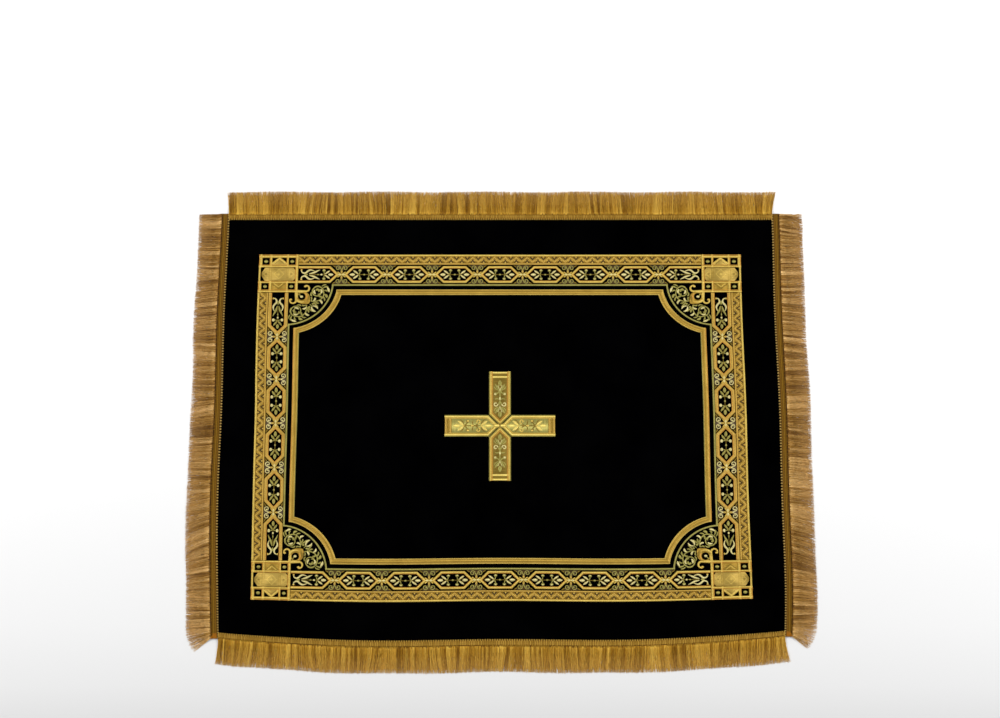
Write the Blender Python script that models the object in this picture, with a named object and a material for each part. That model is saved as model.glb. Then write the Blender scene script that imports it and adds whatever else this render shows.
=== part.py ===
"""A large rectangular altar veil of black velvet, lying flat and face up.

Gold padded embroidery lies on the velvet, and a fringe with a woven heading runs round its edge.
Sizes are in millimetres until the last step, which turns them into metres.
The cloth's own coordinates are u to the right and v up the cloth, from the middle of the border.
"""
import math

import bmesh
import bpy
from mathutils import Vector
from mathutils.geometry import delaunay_2d_cdt

MM = 0.001

# The cloth and its border
BORDER_HALF_U = 310.4
BORDER_HALF_V = 220.9
VELVET_HALF_U = 353.0
VELVET_HALF_V = 268.1
DEPTH_SCALE_U = 1.02
DEPTH_SCALE_V = 0.98
CENTRE_U = 0.058
CENTRE_V = -2.485

# The cloth's unevenness: the bow of its lower edge, the pull of its sides and the waves of its lines
CORNER_LIFT = 10.0
PULL_LEFT = 7.0
PULL_RIGHT = 4.0
SAG_WAVE = 0.8
SAG_LENGTH = 290.0
SIDE_WAVE = 0.7
SIDE_LENGTH = 240.0
LEFT_EASE = 3.0
LEFT_EASE_AT = -305.0
LEFT_EASE_WIDTH = 45.0
TOP_SETTLE = 2.5
TOP_SETTLE_AT = 170.0
TOP_SETTLE_WIDTH = 60.0
LEFT_DROP = 1.7
DROP_LENGTH = 560.0

# Heights above the table
VELVET_THICKNESS = 2.2
GAP = 0.3
SEAM_GAP = 0.4
WORK_BASE = VELVET_THICKNESS + GAP
VELVET_UNDER_HEADING = 4.5
PANEL_STEPS_ALONG = 16
PANEL_STEPS_UP = 12

# The border's lines, as depths in from its outer edge
ZIGZAG_OUTER = 2.6
ZIGZAG_INNER = 11.2
ZIGZAG_DEPTH = 13.4
ZIGZAG_PITCH = 13.85
CHAIN_FIELD_OUTER = 18.2
CHAIN_FIELD_INNER = 34.2
CHAIN_MIDDLE = (CHAIN_FIELD_OUTER + CHAIN_FIELD_INNER) / 2
LINE_OUTER = 38.9
LINE_INNER = 41.2
CONTOUR_OUTER = 46.2
CONTOUR_INNER = 53.4

# The corner blocks: four straps each way, from the outer edge in, and a bar across the middle row
BLOCK = 50.0
BLOCK_STRAPS = ((0.0, 4.4), (13.4, 16.8), (34.8, 37.6), (46.2, BLOCK))
BAR_START = 4.0
BAR_END = 46.8
BAR_CUT = 4.5
OVERLAP = 0.4

# The corner scrolls, from the border's corner: the round loop, the straps' hooks and the leaf scroll
LOOP_CENTRE = (55.6, 55.6)
LOOP_RADIUS = 6.6
LOOP_WIDTHS = (2.6, 2.6, 3.0, 4.0, 5.8, 6.6, 5.8, 4.0, 3.0, 2.6, 2.6)
HOOK_START = ((50.9, 51.2), (48.4, 56.0))
HOOK_CENTRE = (44.4, 60.4)
HOOK_RADIUS = 3.6
HOOK_WIDTHS = (2.8, 2.6, 2.6, 2.2, 2.4, 3.4)
SCROLL_START = ((63.2, 64.4), (58.4, 69.6))
SCROLL_CENTRE = (50.2, 76.6)
SCROLL_RADIUS = 6.6
SCROLL_END = ((51.4, 72.6), (52.0, 78.4))
SCROLL_WIDTHS = (2.6, 2.0, 1.9, 1.9, 1.9, 1.9, 1.9, 1.9, 1.9, 3.0, 1.2)
LEAF_STEM = 1.4
LEAF_POINT = 0.6
LEAVES = (
    {"start": (55.6, 80.6), "end": (60.6, 85.6), "width": 4.4},
    {"start": (49.0, 82.6), "end": (47.6, 89.6), "width": 4.4},
    {"start": (60.8, 68.6), "end": (64.8, 74.0), "width": 4.0},
)
BUD = ((61.0, 61.0), (70.4, 65.4), (75.4, 75.4), (65.4, 70.4))

# The curved-in corners, round a centre this far in from both edges
ARC_CENTRE = 35.0
LINE_ARC_OUTER = 58.2
LINE_ARC_INNER = 60.4
CONTOUR_ARC_OUTER = 65.1
CONTOUR_ARC_INNER = 72.6

# The cartouches: whole ones between the junctions, and one more to each corner
CARTOUCHES_ALONG = 7
CARTOUCHES_UP = 4
PITCH_ALONG = 58.2
PITCH_UP = 56.2
TIP_TO_JUNCTION = 7.4
SLOPE = 8.3
STRAP = 3.0
LILY_PROFILE = ((-1.0, 0.4), (-0.44, 5.2), (-0.16, 1.2), (0.16, 1.2), (0.44, 5.2), (1.0, 0.4))
PETAL_ALONG = 6.4
PETAL_ACROSS = 6.8
PETAL_WIDTH = 2.4

# The fringe
HEADING_SIDE = 9.7
HEADING_LOWER = 7.5
HEADING_UPPER = 6.5
FRINGE_SIDE = 38.2
FRINGE_LOWER = 39.6
FRINGE_UPPER = 36.4
HEADING_THICKNESS = 1.0
LOCK_PITCH = 14.0
LOCK_ROOT = 12.4
LOCK_TIP = 10.4
LOCK_THICKNESS = 1.2
LOCK_TIP_THICKNESS = 0.7
LOCK_FALL = 6.5
LOCK_SWAY = 0.9
LOCK_UNEVEN = 1.1
LOCK_SPREAD = 1.2

# The centre cross
CROSS_CENTRE_V = -3.4
CROSS_HALF = 69.8
CROSS_ARM = 14.2
CROSS_FRAME = 4.8
CROSS_BAR = 8.4
CROSS_LILY = ((18.0, 0.0), (26.0, -4.6), (34.0, -1.0), (40.0, -1.0), (50.0, -5.2), (58.0, 0.0))

# A quad smaller than this, in square millimetres, has no width
LEAST_AREA = 0.05

# Heights of the gold work above its base
HIGH = 1.1
MIDDLE = 0.8
LOW = 0.5

GOLD = (0.60, 0.39, 0.09, 1.0)
OLIVE_GOLD = (0.34, 0.25, 0.05, 1.0)
FRINGE_GOLD = (0.42, 0.23, 0.04, 1.0)
BLACK_VELVET = (0.004, 0.004, 0.005, 1.0)


def lay(u, v):
    """Where the point u, v of the cloth lies on the table."""
    down = min(max(-v / VELVET_HALF_V, 0.0), 1.03)
    out = min(abs(u) / VELVET_HALF_U, 1.0)
    lift = CORNER_LIFT * down**5 * out**4
    pull = (PULL_LEFT if u < 0 else PULL_RIGHT) * down**3 * out**12
    sag = SAG_WAVE * down * math.cos(math.tau * u / SAG_LENGTH)
    sway = SIDE_WAVE * out**2 * math.sin(math.tau * v / SIDE_LENGTH + 0.9)
    lower = min(max((60.0 - v) / 160.0, 0.0), 1.0)
    ease = LEFT_EASE * lower * math.exp(-(((u - LEFT_EASE_AT) / LEFT_EASE_WIDTH) ** 2))
    settle = TOP_SETTLE * math.exp(-(((v - TOP_SETTLE_AT) / TOP_SETTLE_WIDTH) ** 2))
    drop = LEFT_DROP * down**3 * (0.45 - u / DROP_LENGTH)
    x = u - math.copysign(pull, u) + sway + ease
    y = v + lift + sag - settle - drop
    return x - CENTRE_U, y - CENTRE_V


def remove_startup_objects():
    for thing in list(bpy.data.objects):
        bpy.data.objects.remove(thing)


def material(name, colour, roughness, metallic):
    made = bpy.data.materials.new(name)
    made.use_nodes = True
    surface = made.node_tree.nodes["Principled BSDF"]
    surface.inputs["Base Color"].default_value = colour
    surface.inputs["Roughness"].default_value = roughness
    surface.inputs["Metallic"].default_value = metallic
    made.diffuse_color = colour
    return made


def add_object(name, vertices, faces, look):
    mesh = bpy.data.meshes.new(name)
    mesh.from_pydata([(x * MM, y * MM, z * MM) for x, y, z in vertices], [], faces)
    shape = bmesh.new()
    shape.from_mesh(mesh)
    bmesh.ops.recalc_face_normals(shape, faces=shape.faces)
    shape.to_mesh(mesh)
    shape.free()
    mesh.materials.append(look)
    thing = bpy.data.objects.new(name, mesh)
    bpy.context.scene.collection.objects.link(thing)
    return thing


def signed_area(outline):
    total = 0.0
    for (x0, y0), (x1, y1) in zip(outline, outline[1:] + outline[:1]):
        total += x0 * y1 - x1 * y0
    return total / 2


def wall(lower, upper, levels_a, levels_b, a, b, index):
    """The triangles of an upright wall between two heights, meeting every level at both its ends."""
    side_a = [index[a, z] for z in levels_a if lower <= z <= upper]
    side_b = [index[b, z] for z in levels_b if lower <= z <= upper]
    faces = []
    i = j = 0
    while i < len(side_a) - 1 or j < len(side_b) - 1:
        if j == len(side_b) - 1 or (i < len(side_a) - 1 and i <= j):
            faces.append((side_a[i], side_b[j], side_a[i + 1]))
            i += 1
        else:
            faces.append((side_a[i], side_b[j], side_b[j + 1]))
            j += 1
    return faces


def relief(name, base, shapes, look):
    """One solid made of flat shapes, each an outline with its height, joined where they overlap."""
    points = []
    outlines = []
    heights = []
    for outline, height in shapes:
        ordered = outline if signed_area(outline) > 0 else outline[::-1]
        outlines.append(list(range(len(points), len(points) + len(ordered))))
        points += [Vector(point) for point in ordered]
        heights.append(height)
    flat, _, cells, _, _, sources = delaunay_2d_cdt(points, [], outlines, 1, 0.02, True)
    tops = [max(heights[s] for s in source) if source else None for source in sources]
    levels = {i: {0.0} for i in range(len(flat))}
    beside = {}
    for cell, top in zip(cells, tops):
        for a, b in zip(cell, cell[1:] + cell[:1]):
            if top is not None:
                levels[a].add(top)
            beside[a, b] = top
    index = {}
    vertices = []
    used = {i for cell, top in zip(cells, tops) if top is not None for i in cell}
    for i in sorted(used):
        x, y = lay(*flat[i])
        for z in sorted(levels[i]):
            index[i, z] = len(vertices)
            vertices.append((x, y, base + z))
    faces = []
    for cell, top in zip(cells, tops):
        if top is None:
            continue
        faces.append(tuple(index[i, top] for i in cell))
        faces.append(tuple(index[i, 0.0] for i in reversed(cell)))
        for a, b in zip(cell, cell[1:] + cell[:1]):
            other = beside.get((b, a))
            if other is None or other < top:
                faces += wall(other or 0.0, top, sorted(levels[a]), sorted(levels[b]), a, b, index)
    return add_object(name, vertices, faces, look)


def side_point(side, along, depth):
    """The cloth point of a place on one side's border, the side being seen with its edge below."""
    if side == "bottom":
        return along, -BORDER_HALF_V + depth * DEPTH_SCALE_V
    if side == "top":
        return -along, BORDER_HALF_V - depth * DEPTH_SCALE_V
    if side == "right":
        return BORDER_HALF_U - depth * DEPTH_SCALE_U, along
    return -BORDER_HALF_U + depth * DEPTH_SCALE_U, -along


def side_length(side):
    """Half the length of a side between its corner blocks."""
    if side in ("bottom", "top"):
        return BORDER_HALF_U - BLOCK * DEPTH_SCALE_U
    return BORDER_HALF_V - BLOCK * DEPTH_SCALE_V


def corner_point(across, up, a, b):
    """The cloth point a in from the side edge and b in from the lower or upper edge of a corner."""
    u = across * (BORDER_HALF_U - a * DEPTH_SCALE_U)
    v = up * (BORDER_HALF_V - b * DEPTH_SCALE_V)
    return u, v


def in_corner(across, up, shapes):
    """Shapes given from a corner of the border, placed on the cloth."""
    placed = []
    for outline, height in shapes:
        placed.append(([corner_point(across, up, *point) for point in outline], height))
    return placed


def velvet_panel(look):
    """One sheet whose edge lies under the fringe's heading."""
    half_u = VELVET_HALF_U + VELVET_UNDER_HEADING
    half_v = VELVET_HALF_V + VELVET_UNDER_HEADING
    corners = [(-half_u, -half_v), (half_u, -half_v), (half_u, half_v), (-half_u, half_v)]
    outline = []
    for (u0, v0), (u1, v1) in zip(corners, corners[1:] + corners[:1]):
        steps = PANEL_STEPS_ALONG if v0 == v1 else PANEL_STEPS_UP
        for i in range(steps):
            part = i / steps
            outline.append((u0 + (u1 - u0) * part, v0 + (v1 - v0) * part))
    return relief("velvet_panel", 0.0, [(outline, VELVET_THICKNESS)], look)


def zigzag_strip(side, look):
    """A strip whose top rises to a zigzag ridge."""
    half = side_length(side) - SEAM_GAP
    count = round(2 * half / ZIGZAG_PITCH)
    step = half / count
    ridge = []
    for k in range(2 * count + 1):
        depth = ZIGZAG_OUTER if k % 2 == 0 else ZIGZAG_INNER
        ridge.append((-half + k * step, depth))
    vertices = []
    faces = []

    def add(along, depth, height):
        x, y = lay(*side_point(side, along, depth))
        vertices.append((x, y, WORK_BASE + height))
        return len(vertices) - 1

    top = [add(along, depth, HIGH) for along, depth in ridge]
    edge = {}
    for k in range(2 * count + 1):
        last = k in (0, 2 * count)
        along = -half + k * step
        for depth, wanted in ((0.0, k % 2 == 0), (ZIGZAG_DEPTH, k % 2 == 1)):
            if wanted or last:
                edge[k, depth] = (add(along, depth, LOW), add(along, depth, 0.0))
    lower_edges = []
    for depth in (0.0, ZIGZAG_DEPTH):
        stations = sorted(k for k, at in edge if at == depth)
        lower_edges.append([edge[k, depth][1] for k in stations])
        for k, after in zip(stations, stations[1:]):
            upper_a, lower_a = edge[k, depth]
            upper_b, lower_b = edge[after, depth]
            faces.append((upper_a, upper_b, lower_b, lower_a))
            if after - k == 2:
                faces.append((upper_a, upper_b, top[k + 1]))
                faces.append((upper_a, top[k + 1], top[k]))
                faces.append((upper_b, top[after], top[k + 1]))
            else:
                faces.append((upper_a, upper_b, top[after], top[k]))
    faces.append(tuple(lower_edges[0] + lower_edges[1][::-1]))
    for k in (0, 2 * count):
        near = edge[k, 0.0]
        far = edge[k, ZIGZAG_DEPTH]
        faces.append((near[1], near[0], top[k], far[0], far[1]))
    return add_object("zigzag_" + side, vertices, faces, look)


def hexagon(left, right, half_width, slope, point_left=True, point_right=True):
    """A long hexagon as along and across pairs; an end without a point is cut square."""
    outline = []
    if point_left:
        outline += [(left + slope, half_width), (left, 0.0), (left + slope, -half_width)]
    else:
        outline += [(left, half_width), (left, -half_width)]
    if point_right:
        outline += [(right - slope, -half_width), (right, 0.0), (right - slope, half_width)]
    else:
        outline += [(right, -half_width), (right, half_width)]
    return outline


def rectangle(x0, x1, y0, y1):
    return [(x0, y0), (x1, y0), (x1, y1), (x0, y1)]


def ring_between(inner, outer):
    """The quads between two outlines of as many points."""
    count = len(inner)
    quads = []
    for i in range(count):
        j = (i + 1) % count
        quad = [inner[i], inner[j], outer[j], outer[i]]
        if abs(signed_area(quad)) > LEAST_AREA:
            quads.append(quad)
    return quads


def cartouche(left, right, point_left, point_right):
    """The hexagon's strap and the lily chain inside it, as along and across pairs with heights."""
    half_field = (CHAIN_FIELD_INNER - CHAIN_FIELD_OUTER) / 2
    half_strap = half_field + STRAP
    tip = STRAP * 1.25
    inner = hexagon(left, right, half_field, SLOPE, point_left, point_right)
    left_out = left - (tip if point_left else 0.0)
    right_out = right + (tip if point_right else 0.0)
    outer = hexagon(left_out, right_out, half_strap, SLOPE + 1.2, point_left, point_right)
    shapes = [(quad, HIGH) for quad in ring_between(inner, outer)]
    middle = (left + right) / 2
    half = (right - left) / 2 + 1.0
    upper = [(middle + part * half, width) for part, width in LILY_PROFILE]
    lower = [(along, -width) for along, width in reversed(upper)]
    shapes.append((upper + lower, MIDDLE))
    return shapes


def junction(at):
    """The four-pointed flower between two cartouches."""
    along = [(at - PETAL_ALONG, 0.0), (at, -PETAL_WIDTH), (at + PETAL_ALONG, 0.0), (at, PETAL_WIDTH)]
    across = [(at - PETAL_WIDTH, 0.0), (at, -PETAL_ACROSS), (at + PETAL_WIDTH, 0.0), (at, PETAL_ACROSS)]
    return [(along, HIGH), (across, HIGH)]


def cartouche_chain(side, look):
    end = side_length(side) - SEAM_GAP
    count = CARTOUCHES_ALONG
    pitch = PITCH_ALONG
    if side in ("right", "left"):
        count = CARTOUCHES_UP
        pitch = PITCH_UP
    joints = [(i - count / 2) * pitch for i in range(count + 1)]
    shapes = []
    for at in joints:
        shapes += junction(at)
    for a, b in zip(joints, joints[1:]):
        shapes += cartouche(a + TIP_TO_JUNCTION, b - TIP_TO_JUNCTION, True, True)
    shapes += cartouche(-end + STRAP / 2, joints[0] - TIP_TO_JUNCTION, False, True)
    shapes += cartouche(joints[-1] + TIP_TO_JUNCTION, end - STRAP / 2, True, False)
    half_strap = (CHAIN_FIELD_INNER - CHAIN_FIELD_OUTER) / 2 + STRAP
    for start, stop in ((-end, -end + STRAP / 2), (end - STRAP / 2, end)):
        shapes.append((rectangle(start, stop, -half_strap, half_strap), HIGH))
    placed = []
    for outline, height in shapes:
        placed.append(([side_point(side, s, CHAIN_MIDDLE + across) for s, across in outline], height))
    return relief("cartouches_" + side, WORK_BASE, placed, look)


def corner_block(number, across, up, look):
    """Plaited straps in three rows and columns, with a satin bar across the middle."""
    shapes = []
    for low, high in BLOCK_STRAPS:
        shapes.append((rectangle(low, high, 0.0, BLOCK), HIGH))
        shapes.append((rectangle(0.0, BLOCK, low, high), HIGH))
    row_low = BLOCK_STRAPS[1][1] - OVERLAP
    row_high = BLOCK_STRAPS[2][0] + OVERLAP
    bar = [(BAR_START, row_low + BAR_CUT), (BAR_START + BAR_CUT, row_low)]
    bar += [(BAR_END - BAR_CUT, row_low), (BAR_END, row_low + BAR_CUT)]
    bar += [(BAR_END, row_high - BAR_CUT), (BAR_END - BAR_CUT, row_high)]
    bar += [(BAR_START + BAR_CUT, row_high), (BAR_START, row_high - BAR_CUT)]
    shapes.append((bar, MIDDLE))
    middle = (row_low + row_high) / 2
    lower_row = (BLOCK_STRAPS[1][0] + OVERLAP, BLOCK_STRAPS[0][1] - OVERLAP)
    upper_row = (BLOCK_STRAPS[2][1] - OVERLAP, BLOCK_STRAPS[3][0] + OVERLAP)
    for base, point in (lower_row, upper_row):
        shapes.append(([(row_low, base), (middle, point), (row_high, base)], LOW))
    return relief("corner_block_%d" % number, WORK_BASE, in_corner(across, up, shapes), look)


def stroke(path, widths):
    """A ribbon along a path as quads, its width given at each point."""
    left = []
    right = []
    for i, (x, y) in enumerate(path):
        ahead = path[min(i + 1, len(path) - 1)]
        behind = path[max(i - 1, 0)]
        run = math.hypot(ahead[0] - behind[0], ahead[1] - behind[1])
        side_x = -(ahead[1] - behind[1]) / run * widths[i] / 2
        side_y = (ahead[0] - behind[0]) / run * widths[i] / 2
        left.append((x + side_x, y + side_y))
        right.append((x - side_x, y - side_y))
    quads = []
    for i in range(len(path) - 1):
        quads.append([left[i], right[i], right[i + 1], left[i + 1]])
    return quads


def arc(centre, radius, start, end, steps):
    """Points on an arc, its angles in degrees."""
    points = []
    for i in range(steps + 1):
        angle = math.radians(start + (end - start) * i / steps)
        points.append((centre[0] + radius * math.cos(angle), centre[1] + radius * math.sin(angle)))
    return points


def corner_scroll(number, across, up, look):
    """The straps' looped end and a leaf scroll on each side of it."""
    shapes = []
    loop = arc(LOOP_CENTRE, LOOP_RADIUS, -135, 225, len(LOOP_WIDTHS) - 1)
    shapes += [(quad, HIGH) for quad in stroke(loop, LOOP_WIDTHS)]
    hook_steps = len(HOOK_WIDTHS) - len(HOOK_START) - 1
    hook = list(HOOK_START) + arc(HOOK_CENTRE, HOOK_RADIUS, 10, 200, hook_steps)
    scroll_steps = len(SCROLL_WIDTHS) - len(SCROLL_START) - len(SCROLL_END) - 1
    scroll = list(SCROLL_START) + arc(SCROLL_CENTRE, SCROLL_RADIUS, -40, 230, scroll_steps)
    scroll += list(SCROLL_END)
    half = [(quad, HIGH) for quad in stroke(hook, HOOK_WIDTHS)]
    half += [(quad, MIDDLE) for quad in stroke(scroll, SCROLL_WIDTHS)]
    for leaf in LEAVES:
        start = leaf["start"]
        end = leaf["end"]
        middle = ((start[0] + end[0]) / 2, (start[1] + end[1]) / 2)
        widths = (LEAF_STEM, leaf["width"], LEAF_POINT)
        half += [(quad, MIDDLE) for quad in stroke([start, middle, end], widths)]
    mirrored = [([(b, a) for a, b in outline], height) for outline, height in half]
    shapes += half + mirrored
    shapes.append((list(BUD), MIDDLE))
    return relief("corner_scroll_%d" % number, WORK_BASE, in_corner(across, up, shapes), look)


def curved_in_path(depth, radius, steps_along, steps_up, steps_arc):
    """A closed path round the cloth at a depth, its corners curved in on an arc."""
    reach = ARC_CENTRE + math.sqrt(radius**2 - (depth - ARC_CENTRE) ** 2)
    start = math.degrees(math.atan2(depth - ARC_CENTRE, reach - ARC_CENTRE))
    corner = arc((ARC_CENTRE, ARC_CENTRE), radius, start, 90 - start, steps_arc)
    path = []
    for across, up in ((-1, -1), (1, -1), (1, 1), (-1, 1)):
        turned = corner if across * up < 0 else corner[::-1]
        path += [corner_point(across, up, *point) for point in turned]
        end = path[-1]
        follow = {(-1, -1): (1, -1), (1, -1): (1, 1), (1, 1): (-1, 1), (-1, 1): (-1, -1)}[across, up]
        next_turned = corner if follow[0] * follow[1] < 0 else corner[::-1]
        begin = corner_point(*follow, *next_turned[0])
        steps = steps_along if abs(end[1] - begin[1]) < 1 else steps_up
        for i in range(1, steps):
            part = i / steps
            path.append((end[0] + (begin[0] - end[0]) * part, end[1] + (begin[1] - end[1]) * part))
    return path


def curved_in_band(name, outer, inner, height, look):
    outer_path = curved_in_path(*outer, 9, 6, 7)
    inner_path = curved_in_path(*inner, 9, 6, 7)
    shapes = [(quad, height) for quad in ring_between(inner_path, outer_path)]
    return relief(name, WORK_BASE, shapes, look)


def centre_cross(look):
    """A frame round four arms, mitred where they meet, with a lower panel in each arm."""
    shapes = []
    for turn in range(4):
        direction = (round(math.cos(turn * math.pi / 2)), round(math.sin(turn * math.pi / 2)))

        def place(outline):
            points = []
            for along, side in outline:
                u = along * direction[0] - side * direction[1]
                v = along * direction[1] + side * direction[0] + CROSS_CENTRE_V
                points.append((u, v))
            return points

        arm = [(0.0, 0.0), (CROSS_ARM, -CROSS_ARM), (CROSS_HALF, -CROSS_ARM)]
        arm += [(CROSS_HALF, CROSS_ARM), (CROSS_ARM, CROSS_ARM)]
        shapes.append((place(arm), LOW))
        inner = CROSS_ARM - CROSS_FRAME
        for side in (-1, 1):
            edge = [(CROSS_ARM, side * CROSS_ARM), (CROSS_HALF, side * CROSS_ARM)]
            edge += [(CROSS_HALF, side * inner), (CROSS_ARM, side * inner)]
            edge += [(CROSS_FRAME, 0.0), (0.0, 0.0)]
            shapes.append((place(edge), HIGH))
        shapes.append((place(rectangle(CROSS_HALF - CROSS_BAR, CROSS_HALF, -inner, inner)), HIGH))
        lily = list(CROSS_LILY) + [(along, -side) for along, side in CROSS_LILY[-2:0:-1]]
        shapes.append((place(lily), MIDDLE))
    return relief("centre_cross", WORK_BASE, shapes, look)


def fringe_point(side, along, outward):
    """The cloth point a distance outward from the velvet's visible edge."""
    if side == "bottom":
        return along, -VELVET_HALF_V - outward
    if side == "top":
        return -along, VELVET_HALF_V + outward
    if side == "right":
        return VELVET_HALF_U + outward, along
    return -VELVET_HALF_U - outward, -along


def fringe(side, look):
    """A flat heading with locks fused into its outer edge, which fall to the table and lie on it."""
    if side in ("bottom", "top"):
        half_start = half_end = VELVET_HALF_U - SEAM_GAP
        heading = HEADING_LOWER if side == "bottom" else HEADING_UPPER
        reach = FRINGE_LOWER if side == "bottom" else FRINGE_UPPER
    else:
        low = VELVET_HALF_V + HEADING_LOWER
        high = VELVET_HALF_V + HEADING_UPPER
        half_start, half_end = (low, high) if side == "right" else (high, low)
        heading = HEADING_SIDE
        reach = FRINGE_SIDE
    length = half_start + half_end
    count = round(length / LOCK_PITCH)
    pitch = length / count
    root_half = pitch * LOCK_ROOT / LOCK_PITCH / 2
    vertices = []
    faces = []

    def add(along, outward, height):
        x, y = lay(*fringe_point(side, along, outward))
        vertices.append((x, y, height))
        return len(vertices) - 1

    floor = WORK_BASE
    roof = WORK_BASE + HEADING_THICKNESS
    inner = []
    for i in range(count + 1):
        at = -half_start + i * pitch
        inner.append((add(at, 0.0, floor), add(at, 0.0, roof)))
    roots = []
    for i in range(count):
        middle = -half_start + (i + 0.5) * pitch
        left = -half_start if i == 0 else middle - root_half
        right = half_end if i == count - 1 else middle + root_half
        roots.append([(add(at, heading, floor), add(at, heading, roof)) for at in (left, right)])
    for i in range(count):
        (left_low, left_high), (right_low, right_high) = roots[i]
        faces.append((inner[i][1], left_high, right_high, inner[i + 1][1]))
        faces.append((inner[i][0], inner[i + 1][0], right_low, left_low))
        faces.append((inner[i][0], inner[i][1], inner[i + 1][1], inner[i + 1][0]))
        if i < count - 1:
            (next_low, next_high), _ = roots[i + 1]
            faces.append((inner[i + 1][1], right_high, next_high))
            faces.append((inner[i + 1][0], next_low, right_low))
            faces.append((right_high, right_low, next_low, next_high))
    faces.append((inner[0][0], roots[0][0][0], roots[0][0][1], inner[0][1]))
    faces.append((inner[-1][0], inner[-1][1], roots[-1][1][1], roots[-1][1][0]))
    for i in range(count):
        middle = -half_start + (i + 0.5) * pitch
        faces += lock(lock_sections(i, count, heading, reach), middle, pitch, roots[i], add)
    return add_object("fringe_" + side, vertices, faces, look)


def lock_sections(i, count, heading, reach):
    """A lock's sections after its root: outward place, width, sideways sway and thickness."""
    sway = LOCK_SWAY * math.sin(i * 0.9 + 0.4)
    spread = {0: -LOCK_SPREAD, count - 1: LOCK_SPREAD}.get(i, 0.0)
    tip = reach - LOCK_UNEVEN + LOCK_UNEVEN * math.sin(i * 2.7 + 1.1)
    belly = (LOCK_ROOT + LOCK_TIP) / 2
    return (
        {"at": heading + LOCK_FALL, "width": LOCK_ROOT, "sway": 0.2 * sway, "thick": LOCK_THICKNESS},
        {"at": (heading + reach) / 2, "width": belly, "sway": sway, "thick": LOCK_THICKNESS},
        {"at": tip, "width": LOCK_TIP, "sway": spread - 0.7 * sway, "thick": LOCK_TIP_THICKNESS},
    )


def lock(sections, middle, pitch, root, add):
    """One four-sided lock from its root in the heading to its tip on the table."""
    faces = []
    (left_low, left_high), (right_low, right_high) = root
    ring = [left_low, right_low, right_high, left_high]
    for section in sections:
        outward = section["at"]
        thickness = section["thick"]
        half = section["width"] * pitch / LOCK_PITCH / 2
        left = middle + section["sway"] - half
        right = middle + section["sway"] + half
        following = [add(left, outward, 0.0), add(right, outward, 0.0)]
        following += [add(right, outward, thickness), add(left, outward, thickness)]
        for a in range(4):
            b = (a + 1) % 4
            faces.append((ring[a], ring[b], following[b], following[a]))
        ring = following
    faces.append(tuple(ring))
    return faces


def build():
    remove_startup_objects()
    velvet = material("black_velvet", BLACK_VELVET, 0.95, 0.0)
    gold = material("gold_work", GOLD, 0.42, 0.6)
    olive = material("olive_gold_work", OLIVE_GOLD, 0.5, 0.5)
    yarn = material("fringe_yarn", FRINGE_GOLD, 0.55, 0.0)
    velvet_panel(velvet)
    for side in ("bottom", "right", "top", "left"):
        fringe(side, yarn)
        zigzag_strip(side, gold)
        cartouche_chain(side, gold)
    corners = ((-1, -1), (1, -1), (1, 1), (-1, 1))
    for number, (across, up) in enumerate(corners, start=1):
        corner_block(number, across, up, gold)
        corner_scroll(number, across, up, gold)
    line_outer = (LINE_OUTER, LINE_ARC_OUTER)
    line_inner = (LINE_INNER, LINE_ARC_INNER)
    curved_in_band("inner_line", line_outer, line_inner, LOW, olive)
    contour_outer = (CONTOUR_OUTER, CONTOUR_ARC_OUTER)
    contour_inner = (CONTOUR_INNER, CONTOUR_ARC_INNER)
    curved_in_band("contour_band", contour_outer, contour_inner, MIDDLE, gold)
    centre_cross(olive)


build()
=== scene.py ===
"""The dressed look of a large black velvet altar veil, lying flat and face up on a white table.

The veil's own coordinates are u to the right and v up the cloth, in millimetres, as in the part's
source; lay() turns them into places on the table. The padded gold work is built as ribbons, leaves
and beads with their threads laid across them, and the fringe as single strands.
"""
import math
import random

import bpy
import numpy as np
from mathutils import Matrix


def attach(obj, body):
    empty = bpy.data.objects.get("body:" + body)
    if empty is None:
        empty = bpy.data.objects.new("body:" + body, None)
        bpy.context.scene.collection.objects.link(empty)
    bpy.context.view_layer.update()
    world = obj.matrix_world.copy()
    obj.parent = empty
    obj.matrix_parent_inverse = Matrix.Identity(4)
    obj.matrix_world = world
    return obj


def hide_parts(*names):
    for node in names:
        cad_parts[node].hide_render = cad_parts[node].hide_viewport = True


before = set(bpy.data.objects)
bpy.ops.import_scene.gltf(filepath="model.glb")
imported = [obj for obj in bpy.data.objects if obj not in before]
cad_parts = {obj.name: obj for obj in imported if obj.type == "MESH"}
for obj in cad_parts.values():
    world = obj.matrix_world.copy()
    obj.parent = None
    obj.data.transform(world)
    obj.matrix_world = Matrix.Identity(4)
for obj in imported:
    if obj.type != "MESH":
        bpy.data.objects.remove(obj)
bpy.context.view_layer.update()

MM = 0.001

# The cloth and its border, as in the part's source
BORDER_HALF_U = 310.4
BORDER_HALF_V = 220.9
VELVET_HALF_U = 353.0
VELVET_HALF_V = 268.1
DEPTH_SCALE_U = 1.02
DEPTH_SCALE_V = 0.98
CENTRE_U = 0.058
CENTRE_V = -2.485
CORNER_LIFT = 10.0
PULL_LEFT = 7.0
PULL_RIGHT = 4.0
SAG_WAVE = 0.8
SAG_LENGTH = 290.0
SIDE_WAVE = 0.7
SIDE_LENGTH = 240.0
LEFT_EASE = 3.0
LEFT_EASE_AT = -305.0
LEFT_EASE_WIDTH = 45.0
TOP_SETTLE = 2.5
TOP_SETTLE_AT = 170.0
TOP_SETTLE_WIDTH = 60.0
LEFT_DROP = 1.7
DROP_LENGTH = 560.0
VELVET_TOP = 2.2
SEAM_GAP = 0.4
WORK_BASE = 2.5
VELVET_UNDER_HEADING = 4.5
VELVET_UNDERSIDE = 0.15

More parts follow.
